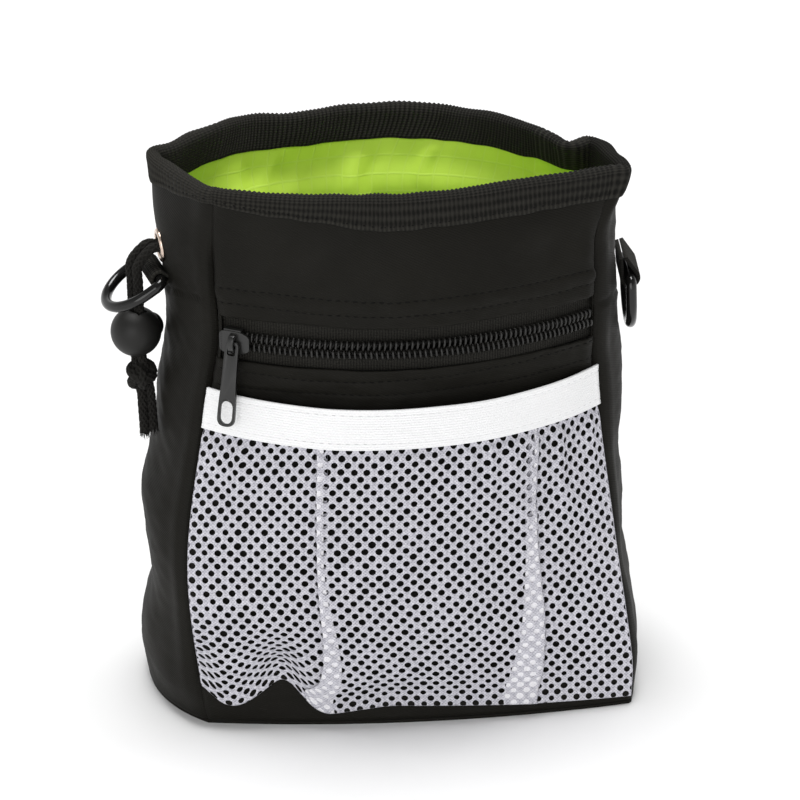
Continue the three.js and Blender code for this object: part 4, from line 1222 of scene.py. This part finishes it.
def add_zip():
    for word, sign in (("upper", 1), ("lower", -1)):
        run = np.arange(-ZIP_RUN - 1.2, ZIP_RUN + 1.3, 0.3)[:, None]
        d = np.linspace(0.7, 9.4, 20)[None, :]
        weave = 0.05 * np.cos(2 * np.pi * run / TAPE_RIB) - 0.14 * bump_at(d, 5.2, 0.5)
        z = ZIP_Z + sign * d
        flat = np.stack(np.broadcast_arrays(run, z), -1)
        tape = shell(f"zip_tape_{word}", on_zip_line(run, -1.75 + weave, z), on_zip_line(run, -2.5, z),
                     TAPE, coords=flat, slot="zip_tape")
        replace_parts(tape, f"zip_tape_{word}")
        turns = np.linspace(-ZIP_RUN + 1, ZIP_RUN - 1, int(2 * ZIP_RUN / TOOTH * 20))
        a = 2 * np.pi * turns / TOOTH + (np.pi if sign < 0 else 0)
        lean = 0.42 * np.cos(a)
        coil = on_zip_line(turns + lean, -0.45 + 0.95 * np.sin(a),
                           ZIP_Z + sign * (1.5 + 1.38 * np.cos(a)))
        wire = tube(f"zip_coil_{word}", coil, 0.37, 8, COIL, slot="zip_coil")
        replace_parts(wire, f"zip_coil_{word}")
        core = on_zip_line(np.arange(-ZIP_RUN + 0.6, ZIP_RUN - 0.6, 0.6), -0.45, ZIP_Z + sign * 2.1)
        tube(f"zip_core_{word}", core, 0.42, 8, THREAD, slot="zip_coil")


def prism(outline, low, high, place, plane="xz"):
    """A flat plate with that outline in x and z, from y low to high, or in y and z, from x low."""
    n = len(outline)
    rows = [(a, h, b) if plane == "xz" else (h, a, b) for h in (low, high) for a, b in outline]
    faces = [list(range(n))[::-1], list(range(n, 2 * n))]
    faces += [[i, (i + 1) % n, n + (i + 1) % n, n + i] for i in range(n)]
    return place(np.array(rows, float)), faces


def rounded(corners, steps=6):
    """An outline from (x, z, radius) corners."""
    made = []
    pts = np.array([c[:2] for c in corners], float)
    for i, (_, _, r) in enumerate(corners):
        p, before, after = pts[i], pts[i - 1], pts[(i + 1) % len(pts)]
        a, b = (before - p) / np.linalg.norm(before - p), (after - p) / np.linalg.norm(after - p)
        for t in np.linspace(0, 1, steps):
            made.append(tuple(p + a * r * (1 - t)**2 + b * r * t**2))
    return made


def stadium(radius, length, middle, steps=10):
    half = length / 2 - radius
    turn = np.linspace(0, math.pi, steps)
    up = [(radius * math.cos(a), middle + half + radius * math.sin(a)) for a in turn]
    return up + [(-x, 2 * middle - z) for x, z in up]


def add_slider():
    face = rounded([(-4.9, -2.8, .8), (-3.6, -3.6, .8), (2.2, -3.6, 1.2), (5.1, -2.4, 1.0),
                    (5.1, 2.4, 1.0), (2.2, 3.6, 1.2), (-3.6, 3.6, .8), (-4.9, 2.8, .8)])
    back = [(x, z * 0.86) for x, z in face]
    bridge = rounded([(-1.3, -3.2, .2), (-3.6, -2.7, .8), (-4.6, -1.1, 1), (-4.6, 1.1, 1),
                      (-3.6, 2.7, .8), (-1.3, 3.2, .2), (-1.3, 2.1, .2), (-2.9, 1.8, .6),
                      (-3.8, 0.6, .5), (-3.8, -0.6, .5), (-2.9, -1.8, .6), (-1.3, -2.1, .2)])
    parts = [prism(face, -1.85, -0.95, at_slider), prism(back, 3.0, 3.7, at_slider),
             box_body((2.2, -1.5, -0.35), (4.4, 3.4, 0.35), at_slider),
             prism(bridge, -0.9, 0.9, at_slider, "yz")]
    for sign in (1, -1):
        low, high = sorted((sign * 3.45, sign * 4.1))
        parts.append(box_body((-3.4, -1.6, low), (2.3, 0.7, high), at_slider))
    made = make("zip_slider", *several(parts), ENAMEL, "slider_metal", "zip_slider")
    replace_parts(soften(made, 0.22), "zip_slider")
    outline = rounded([(-2.2, 0.7, 1.8), (-2.4, -12, 3), (-2.9, -20, 3), (-2.9, -25.9, 2.7),
                       (2.9, -25.9, 2.7), (2.9, -20, 3), (2.4, -12, 3), (2.2, 0.7, 1.8)], 8)
    pull = make("zip_pull", *prism(outline, -0.55, 0.55, at_pull), ENAMEL, "slider_metal", "zip_pull")
    ring = rounded([(-1.35, -0.4, .7), (-1.35, -3.7, .7), (1.35, -3.7, .7), (1.35, -0.4, .7)])
    cut(pull, prism(ring, -3, 3, at_pull), prism(stadium(2.05, 7.2, WINDOW_Z), -3, 3, at_pull),
        prism(stadium(2.3, 7.7, WINDOW_Z), -1.5, -0.42, at_pull))
    lip = np.array([(x, -0.5, z) for x, z in stadium(2.36, 7.85, WINDOW_Z, 24)])
    tube("zip_pull_rim", at_pull(lip), 0.2, 8, ENAMEL, closed=True, slot="slider_metal",
         body="zip_pull")
    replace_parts(soften(pull, 0.18), "zip_pull")


# ---------------------------------------------------------------- eyelet, drawstring, rings and clip
def add_eyelet():
    roll = [(4.5 + 0.85 * math.cos(a), 0.62 + 0.75 * math.sin(a))
            for a in np.linspace(-0.5, math.pi, 14)]
    ring = [(3.9, -1.95), (3.9, 0.3), (5.2, 0.3)] + roll + [(3.6, 0.3), (3.6, -1.95)]
    made = make("eyelet", *turned(ring, 96, in_eyelet), NICKEL, "nickel")
    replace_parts(made, "eyelet_ring")
    washer = [(4.05, -2), (5.1, -2), (5.25, -1.85), (5.1, -1.6), (4.05, -1.6)]
    made = make("eyelet_washer_ring", *turned(washer, 96, in_eyelet), NICKEL, "nickel")
    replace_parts(made, "eyelet_washer")


def add_drawstring():
    bend = [(1.6, -2.1, 0), (1.7, -3, 0), (2.6, -3.9, -0.4), (4.8, -4, -1.6)]
    first = [in_eyelet((-a, b, c)) for a, b, c in bend]
    last = [in_eyelet(b) for b in reversed(bend)]
    s = EYELET_S + 0.14 + (4 - 0.28) * np.linspace(0, 1, 39)
    path, _ = resample(np.concatenate([first, surface(s, 147.0, -3.4), last]), 0.45)
    made = tube("drawstring", path, CORD_R, 22, BRAID, relief=braid_relief, slot="cord_fabric")
    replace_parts(made, "drawstring_loop")


def bar_frame(centre, axis, droop, outward):
    """From a ring's frame: X along its bar, -Y towards its tip, drooping from level."""
    along = Vector(axis).normalized()
    flat = along.cross(Vector((0, 0, 1))).normalized()
    flat *= 1 if flat.x * outward > 0 else -1
    a = math.radians(droop)
    tip = flat * math.cos(a) + Vector((0, 0, -math.sin(a)))
    across = along.cross(-tip)
    turn = np.array([along, -tip, across])
    return lambda p: np.asarray(p, float) @ turn + np.array(centre)


def ring_path():
    """The D's middle line: half is its half width, and its bow reaches depth from the bar."""
    half, depth = 11.7, 17.8
    straight = depth - half
    a = np.linspace(0, np.pi, 15)
    bow = np.stack([half * np.cos(a), -straight - half * np.sin(a), 0 * a], 1)
    side = [(-half, -straight / 2, 0), (-half, -2.4, 0), (-half + 0.7, -0.7, 0), (-half + 2.4, 0, 0),
            (-half / 2, 0, 0)]
    return np.concatenate([bow, side, [(0, 0, 0)], [(-x, y, z) for x, y, z in side[::-1]]])


def add_ring(word, centre, axis, droop, outward, length, slope):
    """A ring and the tab that holds it, length long, sloping down by slope degrees."""
    place = bar_frame(centre, axis, droop, outward)
    path, _ = resample(ring_path(), 0.35, closed=True)
    ring = tube(f"{word}_ring", place(path[:-1]), 1.7, 32, GLOSS, closed=True, slot="ring_plastic",
                body=f"{word}_d_ring")
    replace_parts(ring, f"{word}_d_ring")
    inner, ply, width = 1.95, 1.2, 17.0
    a = np.radians(np.linspace(-100, 100, 34))
    back = np.linspace(0, 1, 26)[:, None]

    def loop(r, lift):
        round_bar = np.stack([r * np.cos(a), r * np.sin(a)], 1)
        low, high = np.array([-length, -lift]), np.array([-length, lift])
        return np.concatenate([low + (round_bar[0] - low) * back[:-1], round_bar,
                               round_bar[-1] + (high - round_bar[-1]) * back[1:]])

    w = np.linspace(-width / 2, width / 2, 82)
    ribs = 0.1 * np.cos(2 * np.pi * w / WEBBING_RIB)
    up = Vector((0, 0, 1))
    out = Vector(axis).normalized().cross(up)
    out *= 1 if out.x * outward > 0 else -1
    t = math.radians(slope)
    towards = out * math.cos(t) - up * math.sin(t)
    over = out * math.sin(t) + up * math.cos(t)
    turn = np.array([towards, over, towards.cross(over)])

    def placed(section, extra):
        away = np.gradient(section, axis=0)
        normal = np.stack([away[:, 1], -away[:, 0]], 1) / np.linalg.norm(away, axis=1, keepdims=True)
        grid = section[None] + normal[None] * extra[:, None, None]
        grid = np.concatenate([grid, np.broadcast_to(w[:, None, None], grid.shape[:2] + (1,))], -1)
        return grid @ turn + np.array(centre)

    outer, inside = loop(inner + ply, ply + 0.1), loop(inner, 0.1)
    run = np.linspace(0, 2 * length + 10, len(outer))
    flat = np.stack(np.meshgrid(w, run, indexing="ij"), -1)
    tab = shell(f"{word}_tab", placed(outer, ribs), placed(inside, 0 * ribs), WEBBING, coords=flat,
                slot="webbing")
    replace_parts(tab, f"{word}_ring_tab")


def add_clip():
    half, y0, leg_y, steel, low, high = 9.0, 48.0, 55.4, 1.0, 90.0, 142.0
    mid = (y0 + leg_y + steel) / 2
    radius = mid - y0

    def bend(r, start, end):
        a = np.radians(np.linspace(start, end, 16))
        return [(mid + r * math.cos(t), high + r * math.sin(t)) for t in a]

    base = [(y0, low)] + bend(radius, 180, 94) + bend(radius - steel, 94, 180) + [(y0 + steel, low)]
    leg = bend(radius, 88, 0) + [(leg_y + 0.2, low + 8), (leg_y + 2, low - 2), (leg_y + 1, low - 2.2),
                                 (leg_y - 0.8, low + 8)] + bend(radius - steel, 0, 88)
    for name, outline, body, node in (("clip_base", base, "bag", "belt_clip_base"),
                                      ("clip_leg", leg, "belt_clip_leg", "belt_clip_leg")):
        plate = prism(outline, -half, half, lambda p: p, "yz")
        made = make(name, *plate, CLIP_PAINT, "clip_steel", body)
        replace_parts(soften(made, 0.3), node)
    head = [(0, 0.25), (3.0, 0.25), (3.0, 0.5)]
    head += [(3.0 * math.cos(a), 0.5 + 0.75 * math.sin(a)) for a in np.linspace(0.15, 1.45, 9)]
    head += [(0, 1.25)]
    for word, z in (("upper", 128), ("lower", 104)):
        made = make(f"rivet_{word}", *turned(head, 48, lambda p, z=z: p + (0, y0 + steel, z)), RIVET,
                    "rivet_steel")
        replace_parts(made, f"clip_rivet_{word}")
    edges = [ARC[2] + SIDE_LENGTHS[2] * share for share in (0.36, 0.64)]
    foot, top, hem = 84, 150, 3.2

    def hemmed(u, z):
        d = np.minimum(np.minimum(u - edges[0], edges[1] - u), np.minimum(z - foot, top - z))
        return 0.1 * ripple(u, z, 20, 18) - 0.25 * bump_at(d, hem, 0.5) - 0.4 * bump_at(d, 0, 0.6)

    cloth("clip_patch", spaced(*edges, 0.5), spaced(foot, top, 0.6), hemmed, ("back_patch",), base=1.4,
          thick=1.05, material=GROSGRAIN, slot="grosgrain")
    a, b, c, d = edges[0] + hem, edges[1] - hem, foot + hem, top - hem
    corners = ((a, c), (b, c), (b, d), (a, d), (a, c))
    t = np.linspace(0, 4, 400)
    u, z = (np.interp(t, range(5), [c[k] for c in corners]) for k in (0, 1))
    stitches("patch_stitches", row_on(u, z, hemmed, 1.4), STITCH_PITCH, 1.9, THREAD, 0.22, 0.2,
             slot="grosgrain")


def add_floor():
    f = Finish("paper_floor", flat=False, roughness=0.9, specular=0.1)
    f.colour((0.80, 0.80, 0.80), (0.82, 0.82, 0.82), f.noise(40))
    size, low = 4000.0, -0.05
    corners = [(-size, -size, low), (size, -size, low), (size, size, low), (-size, size, low)]
    mesh = bpy.data.meshes.new("floor")
    mesh.from_pydata([tuple(c * MM for c in p) for p in corners], [], [(0, 1, 2, 3)])
    mesh.materials.append(f.made)
    floor = bpy.data.objects.new("floor", mesh)
    bpy.context.scene.collection.objects.link(floor)


add_zip()
add_slider()
add_eyelet()
add_drawstring()
add_ring("left", (-74.3, 3, 141), (0.18, -0.98, 0), 31, -1, 2.8, 0)
add_ring("right", (75.8, -3, 135.6), (0.12, 0.99, 0), 87, 1, 7.0, 70)
add_clip()
add_floor()
